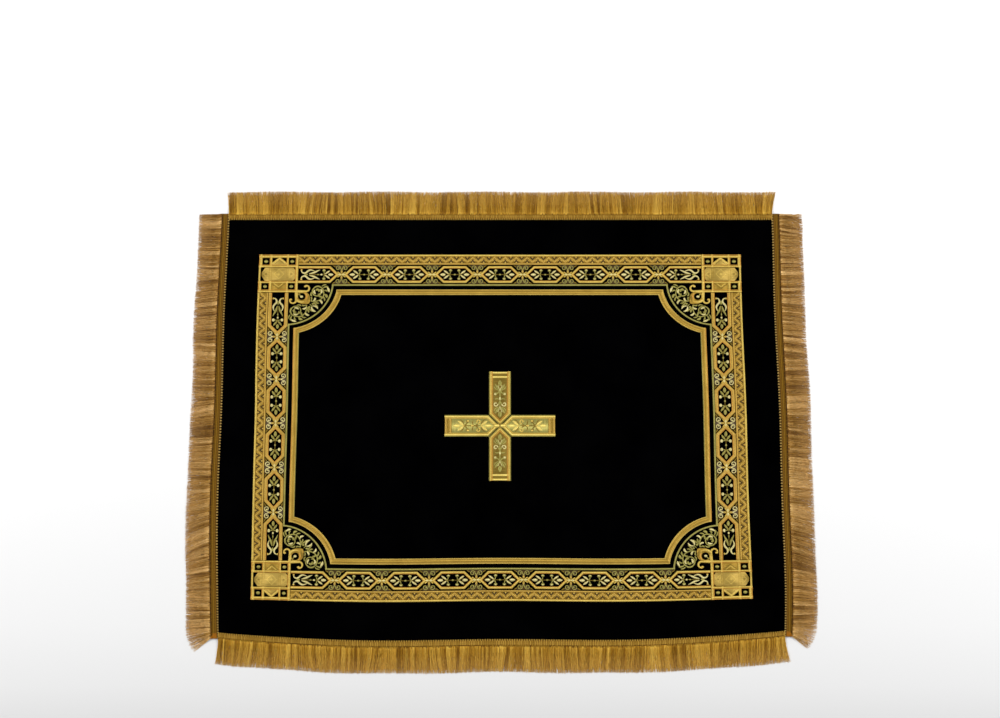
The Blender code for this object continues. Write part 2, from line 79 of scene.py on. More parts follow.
# The border's lines, as depths in from its outer edge
OUTER_LINE = (0.0, 2.6)
ZIGZAG_PITCH = 13.85
ZIGZAG_LINE = (11.2, 13.4)
CHAIN_MIDDLE = 26.2
HALF_FIELD = 8.0
LINE_OUTER = 38.9
LINE_INNER = 41.2
CONTOUR_OUTER = 46.2
CONTOUR_INNER = 53.4
BLOCK = 50.0
BLOCK_STRAPS = ((0.0, 4.4), (13.4, 16.8), (34.8, 37.6), (46.2, BLOCK))
ARC_CENTRE = 35.0
LINE_ARC_OUTER = 58.2
LINE_ARC_INNER = 60.4
CONTOUR_ARC_OUTER = 65.1
CONTOUR_ARC_INNER = 72.6
CARTOUCHES_ALONG = 7
CARTOUCHES_UP = 4
PITCH_ALONG = 58.2
PITCH_UP = 56.2
TIP_TO_JUNCTION = 7.4
SLOPE = 8.3

# The centre cross
CROSS_CENTRE_V = -3.4
CROSS_HALF = 69.8
CROSS_ARM = 14.2

# The fringe
HEADING_SIDE = 9.7
HEADING_LOWER = 7.5
HEADING_UPPER = 6.5
FRINGE_SIDE = 38.2
FRINGE_LOWER = 39.6
FRINGE_UPPER = 36.4
STRANDS_PER_MM = 5.0
STRAND_RADIUS = 0.19
UNDER_PER_MM = 1.3
UNDER_RADIUS = 0.55
STRAND_STEPS = 6
CLUMP_WIDTHS = (1.5, 6.0)
FLARE_LENGTH = 16
FALL_LENGTH = 8.0
DROOP = 8.5
DROOP_AT = -135.0
DROOP_WIDTH = 50.0

# The cross-section of a padded ribbon: places across it and how high they are
PROFILE = ((-1.0, 0.0), (-0.74, 0.7), (0.0, 1.0), (0.74, 0.7), (1.0, 0.0))
FLAT_PROFILE = ((-1.0, 0.0), (-0.88, 0.93), (0.0, 1.0), (0.88, 0.93), (1.0, 0.0))
BED = -0.1

# Finishes of the embroidery thread, each with its place in the list of materials
PALE = 0
GOLD = 1
AMBER = 2
LEMON = 3
OLIVE = 4
SHADE = 5
SILVER = 6
MOSS = 7
# The next finish is a lighter copy of the gold thread: painted light, for work that runs from left to right
# across the cloth
LIT_GOLD = 8
WARM = 9

# The braids of the heading, each with its place in a side's list of materials
GROUND = 0
BAND = 1
RIB = 2
GROOVE = 3
LOOPS = 4
CORNER_STITCHES = 5

# Threads in the order of their finishes: darker and lighter colour from 0 to 255, shine and roughness
THREADS = (
    ("pale gold thread", (196, 162, 66), (238, 208, 106)),
    ("gold thread", (150, 116, 34), (192, 156, 58)),
    ("amber thread", (190, 132, 44), (230, 176, 80)),
    ("lemon gold thread", (200, 186, 112), (244, 232, 168)),
    ("olive gold thread", (112, 92, 26), (154, 128, 46)),
    ("dark thread", (44, 28, 2), (82, 58, 10), 0.1, 0.6),
    ("silver gold thread", (130, 122, 56), (188, 178, 94)),
    ("moss gold thread", (170, 140, 54), (216, 182, 92)),
    # A lighter copy of the gold thread: painted light for work that runs from left to right
    ("painted lit gold thread", (224, 190, 84), (255, 234, 132)),
    ("warm gold thread", (176, 138, 50), (216, 178, 84)),
)

# Braids: the pitch of their ribs, and the two colours at the sides and at the ends of the cloth. The sides'
# darker colours are painted shade: the same braid, as the light falls on it at the sides.
BRAIDS = (
    ("ground", 1.2, (58, 38, 2), (98, 66, 8), (88, 58, 8), (134, 96, 20)),
    ("band", 1.2, (84, 56, 2), (132, 92, 12), (112, 78, 14), (162, 122, 34)),
    ("rib", 1.0, (102, 70, 4), (152, 112, 26), (128, 94, 26), (182, 142, 54)),
    ("groove", 1.0, (36, 20, 2), (92, 58, 8), (66, 40, 4), (124, 84, 16)),
    ("loops", 1.0, (138, 106, 44), (202, 168, 96), (152, 114, 34), (212, 170, 78)),
)
# Fringe yarn at the sides and at the ends: the same yarn, the sides' copy duller and paler as painted light
# by direction
SIDE_YARN = ((0.1, (116, 74, 6)), (0.45, (178, 130, 44)), (0.9, (238, 200, 132)))
END_YARN = ((0.1, (140, 94, 6)), (0.45, (204, 152, 38)), (0.9, (242, 202, 88)))

# The table and the camera, in metres and degrees
TABLE_HALF = 15.0
# Painted shade on the table: grey levels from 0 to 255 along its depth, darker towards its front
TABLE_PAINTED_SHADE = ((0.03, 212), (0.1, 224), (0.19, 231), (0.32, 236), (0.5, 243), (0.8, 247))
CAMERA_TILT = 11.4
CAMERA_DISTANCE = 1.767
CAMERA_TARGET = (0.0, 0.0853, 0.0)


def lay(u, v):
    """Where the point u, v of the cloth lies on the table."""
    down = min(max(-v / VELVET_HALF_V, 0.0), 1.03)
    out = min(abs(u) / VELVET_HALF_U, 1.0)
    lift = CORNER_LIFT * down**5 * out**4
    pull = (PULL_LEFT if u < 0 else PULL_RIGHT) * down**3 * out**12
    sag = SAG_WAVE * down * math.cos(math.tau * u / SAG_LENGTH)
    sway = SIDE_WAVE * out**2 * math.sin(math.tau * v / SIDE_LENGTH + 0.9)
    lower = min(max((60.0 - v) / 160.0, 0.0), 1.0)
    ease = LEFT_EASE * lower * math.exp(-(((u - LEFT_EASE_AT) / LEFT_EASE_WIDTH) ** 2))
    settle = TOP_SETTLE * math.exp(-(((v - TOP_SETTLE_AT) / TOP_SETTLE_WIDTH) ** 2))
    drop = LEFT_DROP * down**3 * (0.45 - u / DROP_LENGTH)
    x = u - math.copysign(pull, u) + sway + ease
    y = v + lift + sag - settle - drop
    return x - CENTRE_U, y - CENTRE_V


def swell(u, v):
    """The soft unevenness of the velvet's top."""
    return 0.11 * math.sin(u / 61 + 0.4) * math.sin(v / 47 + 0.2) + 0.06 * math.sin(v / 23 + u / 37)


def from_side(side, half_u, half_v, scale_u, scale_v):
    """The function from a place along a side and in from its edge to cloth coordinates."""
    def place(along, inward):
        if side == "bottom":
            return along, -half_v + inward * scale_v
        if side == "top":
            return -along, half_v - inward * scale_v
        if side == "right":
            return half_u - inward * scale_u, along
        return -half_u + inward * scale_u, -along

    return place


def side_point(side):
    return from_side(side, BORDER_HALF_U, BORDER_HALF_V, DEPTH_SCALE_U, DEPTH_SCALE_V)


def side_length(side):
    if side in ("bottom", "top"):
        return BORDER_HALF_U - BLOCK * DEPTH_SCALE_U
    return BORDER_HALF_V - BLOCK * DEPTH_SCALE_V


def corner_point(across, up):
    """The function from places in from a corner's two edges to cloth coordinates."""
    def place(a, b):
        return across * (BORDER_HALF_U - a * DEPTH_SCALE_U), up * (BORDER_HALF_V - b * DEPTH_SCALE_V)

    return place


def fringe_point(side):
    """As side_point, but outward from the velvet's visible edge."""
    return from_side(side, VELVET_HALF_U, VELVET_HALF_V, -1, -1)


def cross_point(x, y):
    return x, y + CROSS_CENTRE_V


def chain_point(x, y):
    return x, y + CHAIN_MIDDLE


def turned(quarter):
    """The function from one arm of the cross, seen along it, to the cross."""
    cos = round(math.cos(quarter * math.pi / 2))
    sin = round(math.sin(quarter * math.pi / 2))
    return lambda x, y: (x * cos - y * sin, x * sin + y * cos)


def linear(red, green, blue):
    """A colour given from 0 to 255 as a screen shows it, for a shader."""
    channels = []
    for value in (red, green, blue):
        part = value / 255
        channels.append(part / 12.92 if part <= 0.04045 else ((part + 0.055) / 1.055) ** 2.4)
    return (*channels, 1.0)


def spiral(centre, outer, inner, start, end, steps):
    """Points on a spiral that closes from one radius to another, its angles in degrees."""
    points = []
    for i in range(steps + 1):
        part = i / steps
        angle = math.radians(start + (end - start) * part)
        radius = outer + (inner - outer) * part**1.4
        points.append((centre[0] + radius * math.cos(angle), centre[1] + radius * math.sin(angle)))
    return points


def arc(centre, radius, start, end, steps):
    return spiral(centre, radius, radius, start, end, steps)


def curve(a, b, c, steps=8):
    """Points on a bend from a to c that leans towards b."""
    points = []
    for i in range(steps + 1):
        t = i / steps
        points.append(tuple((1 - t) ** 2 * p + 2 * t * (1 - t) * q + t * t * r for p, q, r in zip(a, b, c)))
    return points


def rounded(corners):
    """A smooth path through the middles of a polyline's runs."""
    path = [corners[0]]
    for i in range(1, len(corners) - 1):
        start = path[-1] if i == 1 else middle_of(corners[i - 1], corners[i])
        end = corners[-1] if i == len(corners) - 2 else middle_of(corners[i], corners[i + 1])
        path += curve(start, corners[i], end, 6)[1:]
    return path


def middle_of(a, b):
    return (a[0] + b[0]) / 2, (a[1] + b[1]) / 2


def swapped(path):
    return [(y, x) for x, y in path]


def swelling(count, stem, belly, point, where=0.5):
    """Widths along a leaf: a stem, a belly at one place and a point."""
    widths = []
    for i in range(count):
        t = i / (count - 1)
        if t < where:
            rise = math.sin(t / where * math.pi / 2)
            widths.append(stem + (belly - stem) * rise)
        else:
            fall = math.cos((t - where) / (1 - where) * math.pi / 2)
            widths.append(point + (belly - point) * fall**0.8)
    return widths


class Work:
    """A piece being built: its points on the cloth, its faces and the map of its threads."""

    def __init__(self, name, place, base=VELVET_TOP):
        self.name = name
        self.place = place
        self.base = base
        self.points = []
        self.faces = []
        self.maps = []
        self.finishes = []

    def within(self, move):
        """The same work for shapes in other coordinates, which move turns into this one's."""
        part = Work(self.name, lambda x, y: self.place(*move(x, y)), self.base)
        part.points = self.points
        part.faces = self.faces
        part.maps = self.maps
        part.finishes = self.finishes
        return part

    def add(self, x, y, height, along, across):
        u, v = self.place(x, y)
        self.points.append((*lay(u, v), self.base + swell(u, v) + height))
        self.maps.append((along, across))
        return len(self.points) - 1

    def face(self, corners, finish):
        self.faces.append(tuple(corners))
        self.finishes.append(finish)

    def join(self, rows, finish):
        """The quads between rows of points."""
        for row, after in zip(rows, rows[1:]):
            for i in range(len(row) - 1):
                self.face((row[i], row[i + 1], after[i + 1], after[i]), finish)

    def ribbon(self, path, widths, rise, finish, bed=BED, profile=PROFILE):
        """A padded ribbon along a smooth path, lower where it is narrow."""
        if not hasattr(widths, "__len__"):
            widths = [widths] * len(path)
        widest = max(widths)
        rows = []
        travelled = 0.0
        for i, (x, y) in enumerate(path):
            ahead = path[min(i + 1, len(path) - 1)]
            behind = path[max(i - 1, 0)]
            run = max(math.dist(ahead, behind), 1e-6)
            side_x = -(ahead[1] - behind[1]) / run * widths[i] / 2
            side_y = (ahead[0] - behind[0]) / run * widths[i] / 2
            if i:
                travelled += math.dist(path[i - 1], path[i])
            top = bed + (rise - bed) * max(widths[i] / widest, 0.05) ** 0.7
            row = []
            for across, height in profile:
                place = (x + side_x * across, y + side_y * across)
                row.append(self.add(*place, bed + (top - bed) * height, travelled, across * widths[i] / 2))
            rows.append(row)
        self.join(rows, finish)

    def strap(self, corners, width, rise, finish, bed=BED, closed=False, profile=PROFILE, step=16.0):
        """A padded ribbon along straight runs, mitred where they meet."""
        count = len(corners)
        runs = count if closed else count - 1
        ahead = [unit(corners[i], corners[(i + 1) % count]) for i in range(runs)]
        mitres = []
        for i in range(count):
            before = ahead[i - 1] if (i or closed) else ahead[0]
            after = ahead[i % runs] if (i < runs or closed) else ahead[-1]
            mitres.append(mitre(before, after))
        for i, along in enumerate(ahead):
            a = corners[i]
            j = (i + 1) % count
            b = corners[j]
            steps = max(1, round(math.dist(a, b) / step))
            rows = []
            for k in range(steps + 1):
                part = k / steps
                lean = [mitres[i][0] * (1 - part) + mitres[j][0] * part]
                lean.append(mitres[i][1] * (1 - part) + mitres[j][1] * part)
                row = []
                for across, height in profile:
                    x = a[0] + (b[0] - a[0]) * part + lean[0] * across * width / 2
                    y = a[1] + (b[1] - a[1]) * part + lean[1] * across * width / 2
                    travelled = (x - a[0]) * along[0] + (y - a[1]) * along[1]
                    row.append(self.add(x, y, bed + (rise - bed) * height, travelled, across * width / 2))
                rows.append(row)
            self.join(rows, finish)

    def patch(self, outline, rise, finish, thread=0.0, bevel=0.45, bed=BED):
        """A flat satin field with a soft edge, its threads at an angle in degrees to the first axis."""
        if area_of(outline) < 0:
            outline = outline[::-1]
        count = len(outline)
        turn = math.radians(thread)
        inner = []
        for i, (x, y) in enumerate(outline):
            lean = mitre(unit(outline[i - 1], (x, y)), unit((x, y), outline[(i + 1) % count]))
            inner.append((x + lean[0] * bevel, y + lean[1] * bevel))
        rings = []
        for ring, height in ((outline, bed), (inner, rise)):
            row = []
            for x, y in ring:
                along = -x * math.sin(turn) + y * math.cos(turn)
                row.append(self.add(x, y, height, along, x * math.cos(turn) + y * math.sin(turn)))
            rings.append(row)
        for i in range(count):
            j = (i + 1) % count
            self.face((rings[0][i], rings[0][j], rings[1][j], rings[1][i]), finish)
        self.face(rings[1], finish)

    def bead(self, x, y, length, width, rise, finish, turn=0.0, bed=BED):
        """An oval satin bead, its length at an angle in degrees."""
        angle = math.radians(turn)
        path = []
        widths = []
        for t in (-1.0, -0.86, -0.5, 0.0, 0.5, 0.86, 1.0):
            path.append((x + math.cos(angle) * t * length / 2, y + math.sin(angle) * t * length / 2))
            widths.append(width * max(math.sqrt(1 - t * t), 0.15))
        self.ribbon(path, widths, rise, finish, bed)

    def leaf(self, start, bend, end, width, rise, finish, stem=0.7, where=0.55, bed=BED):
        """A leaf on a bent midrib, from its stem to its point."""
        path = curve(start, bend, end, 8)
        self.ribbon(path, swelling(len(path), stem, width, 0.25, where), rise, finish, bed)

    def finish(self, materials):
        mesh = new_mesh(self.name, self.points, self.faces)
        for polygon in [polygon for polygon in mesh.polygons if polygon.normal.z < 0]:
            polygon.flip()
        map_threads(mesh, self.maps)
        mesh.polygons.foreach_set("material_index", self.finishes)
        return placed(mesh, materials)


def new_mesh(name, points, faces):
    mesh = bpy.data.meshes.new(name)
    mesh.from_pydata([(x * MM, y * MM, z * MM) for x, y, z in points], [], faces)
    mesh.update()
    return mesh


def map_threads(mesh, maps):
    """Maps the threads onto a mesh, from one place for each of its points."""
    threads = mesh.uv_layers.new(name="threads")
    order = np.empty(len(mesh.loops), dtype=np.int64)
    mesh.loops.foreach_get("vertex_index", order)
    threads.data.foreach_set("uv", np.asarray(maps, dtype=np.float32)[order].ravel())


def placed(mesh, looks):
    """The mesh as a smooth piece of the scene that rides with the cloth."""
    mesh.polygons.foreach_set("use_smooth", [True] * len(mesh.polygons))
    for look in looks:
        mesh.materials.append(look)
    thing = bpy.data.objects.new(mesh.name, mesh)
    bpy.context.scene.collection.objects.link(thing)
    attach(thing, "root")
    return thing


def unit(a, b):
    length = max(math.dist(a, b), 1e-9)
    return (b[0] - a[0]) / length, (b[1] - a[1]) / length


def mitre(before, after):
    """Where the left edge of a strip of half width one turns, between its directions before and after."""
    scale = max(1 + before[0] * after[0] + before[1] * after[1], 0.2)
    return -(before[1] + after[1]) / scale, (before[0] + after[0]) / scale


def area_of(outline):
    total = 0.0
    for (x0, y0), (x1, y1) in zip(outline, outline[1:] + outline[:1]):
        total += x0 * y1 - x1 * y0
    return total / 2


class Shader:
    """A material's nodes, added and linked by name."""

    def __init__(self, name):
        self.material = bpy.data.materials.new(name)
        self.material.use_nodes = True
        self.tree = self.material.node_tree
        self.surface = self.tree.nodes["Principled BSDF"]

    def node(self, kind, vector=None, **settings):
        """A new node. A setting that starts with a capital letter is the value of an input."""
        made = self.tree.nodes.new(kind)
        for key, value in settings.items():
            if key[0].isupper():
                made.inputs[key].default_value = value
            else:
                setattr(made, key, value)
        if vector is not None:
            self.link(vector, made.inputs["Vector"])
        return made

    def link(self, source, target):
        self.tree.links.new(source, target)

    def threads(self):
        return self.node("ShaderNodeUVMap", uv_map="threads").outputs["UV"]

    def place(self):
        return self.node("ShaderNodeTexCoord").outputs["Object"]

    def noise(self, vector, scale, detail=2.0):
        return self.node("ShaderNodeTexNoise", vector, Scale=scale, Detail=detail).outputs["Fac"]

    def fibres(self, threads, scale):
        """Noise that is drawn out along or across the threads."""
        return self.noise(self.node("ShaderNodeMapping", threads, Scale=scale).outputs["Vector"], 1.0)

    def ramp(self, factor, stops):
        made = self.node("ShaderNodeValToRGB")
        elements = made.color_ramp.elements
        while len(elements) < len(stops):
            elements.new(0.5)
        for element, (position, colour) in zip(elements, stops):
            element.position = position
            element.color = colour
        self.link(factor, made.inputs["Fac"])
        return made.outputs["Color"]

    def calculate(self, operation, a, b):
        made = self.node("ShaderNodeMath", operation=operation)
        for socket, value in zip(made.inputs, (a, b)):
            if isinstance(value, (int, float)):
                socket.default_value = value
            else:
                self.link(value, socket)
        return made.outputs["Value"]

    def mixed(self, a, b, share):
        """Two values together, the second with this share."""
        rest = self.calculate("MULTIPLY", a, 1 - share)
        return self.calculate("ADD", rest, self.calculate("MULTIPLY", b, share))

    def paint(self, colour):
        self.link(colour, self.surface.inputs["Base Color"])

    def bump(self, height, strength, distance):
        made = self.node("ShaderNodeBump", Strength=strength, Distance=distance)
        self.link(height, made.inputs["Height"])
        self.link(made.outputs["Normal"], self.surface.inputs["Normal"])

    def shine_across(self):
        """Light runs across the threads."""
        tangent = self.node("ShaderNodeTangent", direction_type="UV_MAP", uv_map="threads")
        self.link(tangent.outputs["Tangent"], self.surface.inputs["Tangent"])

    def set(self, **values):
        for key, value in values.items():
            self.surface.inputs[key.replace("_", " ")].default_value = value


def thread(name, dark, light, shine=0.6, roughness=0.5):
    """Satin stitch in metallic thread: a fine rib along the ribbon and light that runs across it."""
    look = Shader(name)
    threads = look.threads()
    tone = look.fibres(threads, (1.6, 0.12, 1.0))
    mixed = look.mixed(tone, look.noise(look.place(), 60.0), 0.3)
    look.paint(look.ramp(mixed, ((0.32, linear(*dark)), (0.66, linear(*light)))))
    rib = look.node("ShaderNodeTexWave", threads, wave_type="BANDS", bands_direction="X",
                    Scale=0.72, Distortion=1.2, Detail=1.0)
    look.bump(rib.outputs["Fac"], 0.35, 0.0001)
    look.shine_across()
    look.set(Metallic=shine, Roughness=roughness, Anisotropic=0.92)
    return look.material


def black_velvet():
    """A dense black pile with a faint nap."""
    look = Shader("black velvet")
    place = look.place()
    nap = look.noise(place, 14.0, 3.0)
    look.paint(look.ramp(nap, ((0.3, (0.0001, 0.0001, 0.0002, 1.0)), (0.75, (0.0007, 0.0007, 0.0009, 1.0)))))
    look.bump(look.noise(place, 1500.0, 1.0), 0.4, 0.0003)
    look.set(Roughness=1.0, Specular_IOR_Level=0.0, Sheen_Weight=0.012, Sheen_Roughness=0.35,
             Sheen_Tint=linear(120, 120, 135))
    return look.material


def yarn(name, stops, tip):
    """Silky fringe yarn, each strand with its own shade, and a tint towards the tips."""
    look = Shader(name)
    strands = look.threads()
    split = look.node("ShaderNodeSeparateXYZ", strands)
    shade = look.mixed(split.outputs["Y"], look.fibres(strands, (0.25, 9.0, 1.0)), 0.25)
    body = look.ramp(shade, [(position, linear(*colour)) for position, colour in stops])
    outward = look.calculate("DIVIDE", look.calculate("SUBTRACT", split.outputs["X"], 14.0), 26.0)
    share = look.calculate("MULTIPLY", look.calculate("MAXIMUM", outward, 0.0), 0.55)
    tinted = look.node("ShaderNodeMix", data_type="RGBA")
    look.link(share, tinted.inputs["Factor"])
    look.link(body, tinted.inputs[6])
    tinted.inputs[7].default_value = linear(*tip)
    look.paint(tinted.outputs[2])
    look.shine_across()
    look.set(Roughness=0.5, Anisotropic=0.5, Anisotropic_Rotation=0.25, Specular_IOR_Level=0.22)
    return look.material


def woven(name, dark, light, pitch):
    """Heading braid: weft ribs across the tape."""
    look = Shader(name)
    threads = look.threads()
    rib = look.node("ShaderNodeTexWave", threads, wave_type="BANDS", bands_direction="DIAGONAL",
                    Scale=0.31 / pitch * 2, Distortion=0.8)
    mixed = look.mixed(rib.outputs["Fac"], look.fibres(threads, (0.8, 0.8, 1.0)), 0.55)
    look.paint(look.ramp(mixed, ((0.25, linear(*dark)), (0.75, linear(*light)))))
    look.bump(rib.outputs["Fac"], 0.5, 0.0003)
    look.set(Roughness=0.6, Specular_IOR_Level=0.12)
    return look.material


def velvet_sheet(look):
    """The velvet as one thin sheet whose edge lies under the fringe's heading."""
    half_u = VELVET_HALF_U + VELVET_UNDER_HEADING
    half_v = VELVET_HALF_V + VELVET_UNDER_HEADING
    steps_u = 96
    steps_v = 72
    top = []
    for j in range(steps_v + 1):
        for i in range(steps_u + 1):
            u = -half_u + 2 * half_u * i / steps_u
            v = -half_v + 2 * half_v * j / steps_v
            edge = max(abs(u) - VELVET_HALF_U, abs(v) - VELVET_HALF_V, 0.0) / VELVET_UNDER_HEADING
            top.append((*lay(u, v), VELVET_TOP + swell(u, v) - 0.5 * edge))
    count = len(top)
    points = top + [(x, y, VELVET_UNDERSIDE) for x, y, _ in top]
    width = steps_u + 1
    faces = []
    for j in range(steps_v):
        for i in range(steps_u):
            a = j * width + i
            quad = (a, a + 1, a + width + 1, a + width)
            faces.append(quad)
            faces.append(tuple(count + k for k in reversed(quad)))
    rim = list(range(width))
    rim += [j * width + steps_u for j in range(1, steps_v + 1)]
    rim += [steps_v * width + i for i in range(steps_u - 1, -1, -1)]
    rim += [j * width for j in range(steps_v - 1, 0, -1)]
    for a, b in zip(rim, rim[1:] + rim[:1]):
        faces.append((b, a, count + a, count + b))
    return placed(new_mesh("velvet_sheet", points, faces), [look])


def zigzag(side, looks):
    """The outer strip: two lines with a zigzag between them, dark chevrons and small filled triangles."""
    work = Work("zigzag_work_" + side, side_point(side))
    half = side_length(side) - SEAM_GAP
    count = round(2 * half / ZIGZAG_PITCH)
    step = half / count
    low = OUTER_LINE[1]
    high = ZIGZAG_LINE[0]
    for k in range(count):
        start = -half + 2 * step * k
        after = start + 2 * step
        field = [(start, low - 0.4), (after, low - 0.4), (after, high + 0.4), (start, high + 0.4)]
        work.patch(field, 0.45, GOLD, thread=90, bevel=0.05)
    centre = [(-half + k * step, 3.6 if k % 2 == 0 else 10.4) for k in range(2 * count + 1)]
    work.strap(centre, 2.4, 1.05, WARM)
    for k in range(1, 2 * count):
        at = -half + k * step
        if k % 2:
            work.strap([(at - 2.8, 3.1), (at, 6.9), (at + 2.8, 3.1)], 1.4, 0.9, SHADE, bed=0.4)
            work.leaf((at, 2.6), (at, 3.6), (at, 4.7), 2.0, 1.0, WARM, stem=1.8, where=0.2, bed=0.4)
        else:
            work.strap([(at - 2.5, 10.8), (at, 7.6), (at + 2.5, 10.8)], 1.4, 0.9, SHADE, bed=0.4)
            work.leaf((at, 11.2), (at, 10.4), (at, 9.4), 1.8, 1.0, PALE, stem=1.5, where=0.2, bed=0.4)
    for (lower, upper), finish in ((OUTER_LINE, PALE), (ZIGZAG_LINE, WARM)):
        middle = (lower + upper) / 2
        work.strap([(-half, middle), (half, middle)], upper - lower, 1.1, finish, profile=FLAT_PROFILE)
    return work.finish(looks)


def lily(work, tip, direction, size, petal, stem, rise=1.05, bed=BED):
    """A lily seen from the side: a pointed middle petal and a curved one on each side of a dark gap."""
    def at(back, side):
        return tip - direction * back * size, side * size

    work.leaf(at(6.8, 0), at(3.6, 0), at(-0.2, 0), 4.2 * size, rise, petal, stem=0.9, where=0.45, bed=bed)
    for up in (-1, 1):
        side = (at(11.0, 0.6 * up), at(8.6, 3.0 * up), at(4.4, 5.4 * up))
        work.leaf(*side, 2.7 * size, rise, petal, 0.9, 0.6, bed)
        inner = (at(10.0, 0.5 * up), at(8.4, 2.0 * up), at(5.6, 2.2 * up))
        work.leaf(*inner, 1.1 * size, 0.7 * rise, stem, 0.8, 0.5, bed)
    work.ribbon([at(10.0, 0), at(11.6, 0), at(13.0, 0)], [1.7, 1.3, 0.9], 0.8 * rise, stem, bed)


def small_bud(work, start, bend, end, up, finish):
    """A bud with a bright middle, on a short leaf."""
    work.leaf(start, bend, end, 1.5, 0.8, SILVER, 0.9, 0.4)
    work.bead(*end, 4.2, 3.8, 1.0, finish)
    work.bead(end[0], end[1] + 0.5 * up, 2.0, 1.6, 1.1, LEMON, bed=0.6)


def whole_motif(work, middle, half, petal, bud):
    """The motif of a whole cartouche: two lilies, four buds and a dot."""
    for direction in (-1, 1):
        lily(work, middle + direction * (half - 3.0), direction, 1.0, petal, OLIVE)
        at = middle + direction * 5.4
        for up in (-1, 1):
            start = (at + direction * 1.8, 0.4 * up)
            small_bud(work, start, (at, 1.2 * up), (at, 5.4 * up), up, bud)
    work.ribbon([(middle - 6.6, 0.0), (middle, 0.0), (middle + 6.6, 0.0)], 0.9, 0.6, OLIVE)
    work.bead(middle, 0.0, 3.0, 2.6, 0.95, SILVER)


def end_motif(work, tip, direction, petal, bud):
    """The motif of an end cartouche: a lily at its tip and two fronds that curl at the block."""
    def at(back, side):
        return tip - direction * back, side

    lily(work, tip - direction * 3.2, direction, 0.95, petal, OLIVE)
    for up in (-1, 1):
        small_bud(work, at(14.0, 0.4 * up), at(15.4, 1.6 * up), at(15.2, 5.4 * up), up, bud)
        inner = rounded([at(20.4, 6.2 * up), at(23.6, 5.0 * up), at(27.6, 2.6 * up), at(31.6, 1.6 * up),
                         at(34.4, 0.9 * up)])
        work.ribbon(inner, swelling(len(inner), 0.7, 2.8, 0.5, 0.5), 1.05, petal)
        outer = rounded([at(26.4, 4.0 * up), at(31.0, 6.6 * up), at(35.4, 5.4 * up), at(38.6, 1.8 * up),
                         at(42.2, 2.0 * up), at(44.6, 4.2 * up), at(44.4, 6.6 * up)])
        work.ribbon(outer, swelling(len(outer), 0.7, 2.7, 1.0, 0.3), 1.05, LEMON)
        work.bead(*at(44.2, 6.2 * up), 2.6, 2.3, 0.95, PALE)
        work.leaf(at(36.0, 0.3 * up), at(38.6, 0.4 * up), at(40.6, 0.3 * up), 1.8, 0.8, SILVER)
    work.bead(*at(18.4, 0), 2.9, 2.6, 0.95, LEMON)
    work.bead(*at(22.6, 0), 3.4, 1.8, 0.95, SILVER)
    work.ribbon([at(13.0, 0), at(18.0, 0), at(34.0, 0)], [0.9, 0.9, 0.8], 0.6, OLIVE)


def pointed(tip, half, direction):
    """The pointed end of a cartouche, which looks in a direction along its side."""
    shoulder = tip - direction * half * SLOPE / HALF_FIELD
    return [(shoulder, -direction * half), (tip, 0.0), (shoulder, direction * half)]


def cartouche_straps(work, left, right, width, finish, flat=0):
    """The strap round a cartouche: a bright padded outline with an amber line inside it.

    Flat is -1 or 1 where the left or the right end is open and runs to the corner block.
    """
    parts = ((width * 0.56, width * 0.9, 1.1, finish), (width * 0.1, width * 0.22, 0.8, AMBER))
    for inset, wide, rise, look in parts:
        half = HALF_FIELD + inset
        left_end = pointed(left - inset * 1.44, half, -1)
        right_end = pointed(right + inset * 1.44, half, 1)
        if flat < 0:
            outline = [(left, -half), *right_end, (left, half)]
        elif flat > 0:
            outline = [(right, half), *left_end, (right, -half)]
        else:
            outline = left_end + right_end
        work.strap(outline, wide, rise, look, closed=not flat)


def junction(work, at, curls):
    """Where two cartouches meet: the crossed straps, two buds, and curls in the triangles beside them."""
    def near(along, out):
        return at + along, CHAIN_MIDDLE + out

    for up in (-1, 1):
        work.patch([near(-9.8, 12.3 * up), near(0, 3.4 * up), near(9.8, 12.3 * up)], 0.35, SHADE, bevel=0.2)
        work.strap([near(-5.2, -3.4 * up), near(5.2, 3.4 * up)], 1.7, 0.85, PALE)
        work.leaf(near(0, 1.6 * up), near(0, 4.2 * up), near(0, 7.2 * up), 3.0, 0.9, MOSS, 1.2, 0.4)
        for direction in (-1, 1):
            facing = 180 if direction > 0 else 0
            turned = facing - direction * up * 380
            curl = spiral(near(4.5 * direction, 8.5 * up), 3.1, 1.2, facing, turned, 16)
            stem = curve(near(0, 5.4 * up), near(0.5 * direction, 6.8 * up), curl[0], 3)
            work.ribbon(stem[:-1] + curl, 1.4, 0.75, curls)
            work.bead(*curl[-1], 2.2, 2.0, 0.85, curls)
            root = near(8.0 * direction, 9.6 * up)
            bend = near(9.4 * direction, 11.2 * up)
            work.leaf(root, bend, near(12.0 * direction, 12.0 * up), 1.8, 0.7, OLIVE, 0.8, 0.4)
    for direction in (-1, 1):
        work.bead(at + 2.4 * direction, CHAIN_MIDDLE, 4.4, 3.0, 1.5, LEMON)


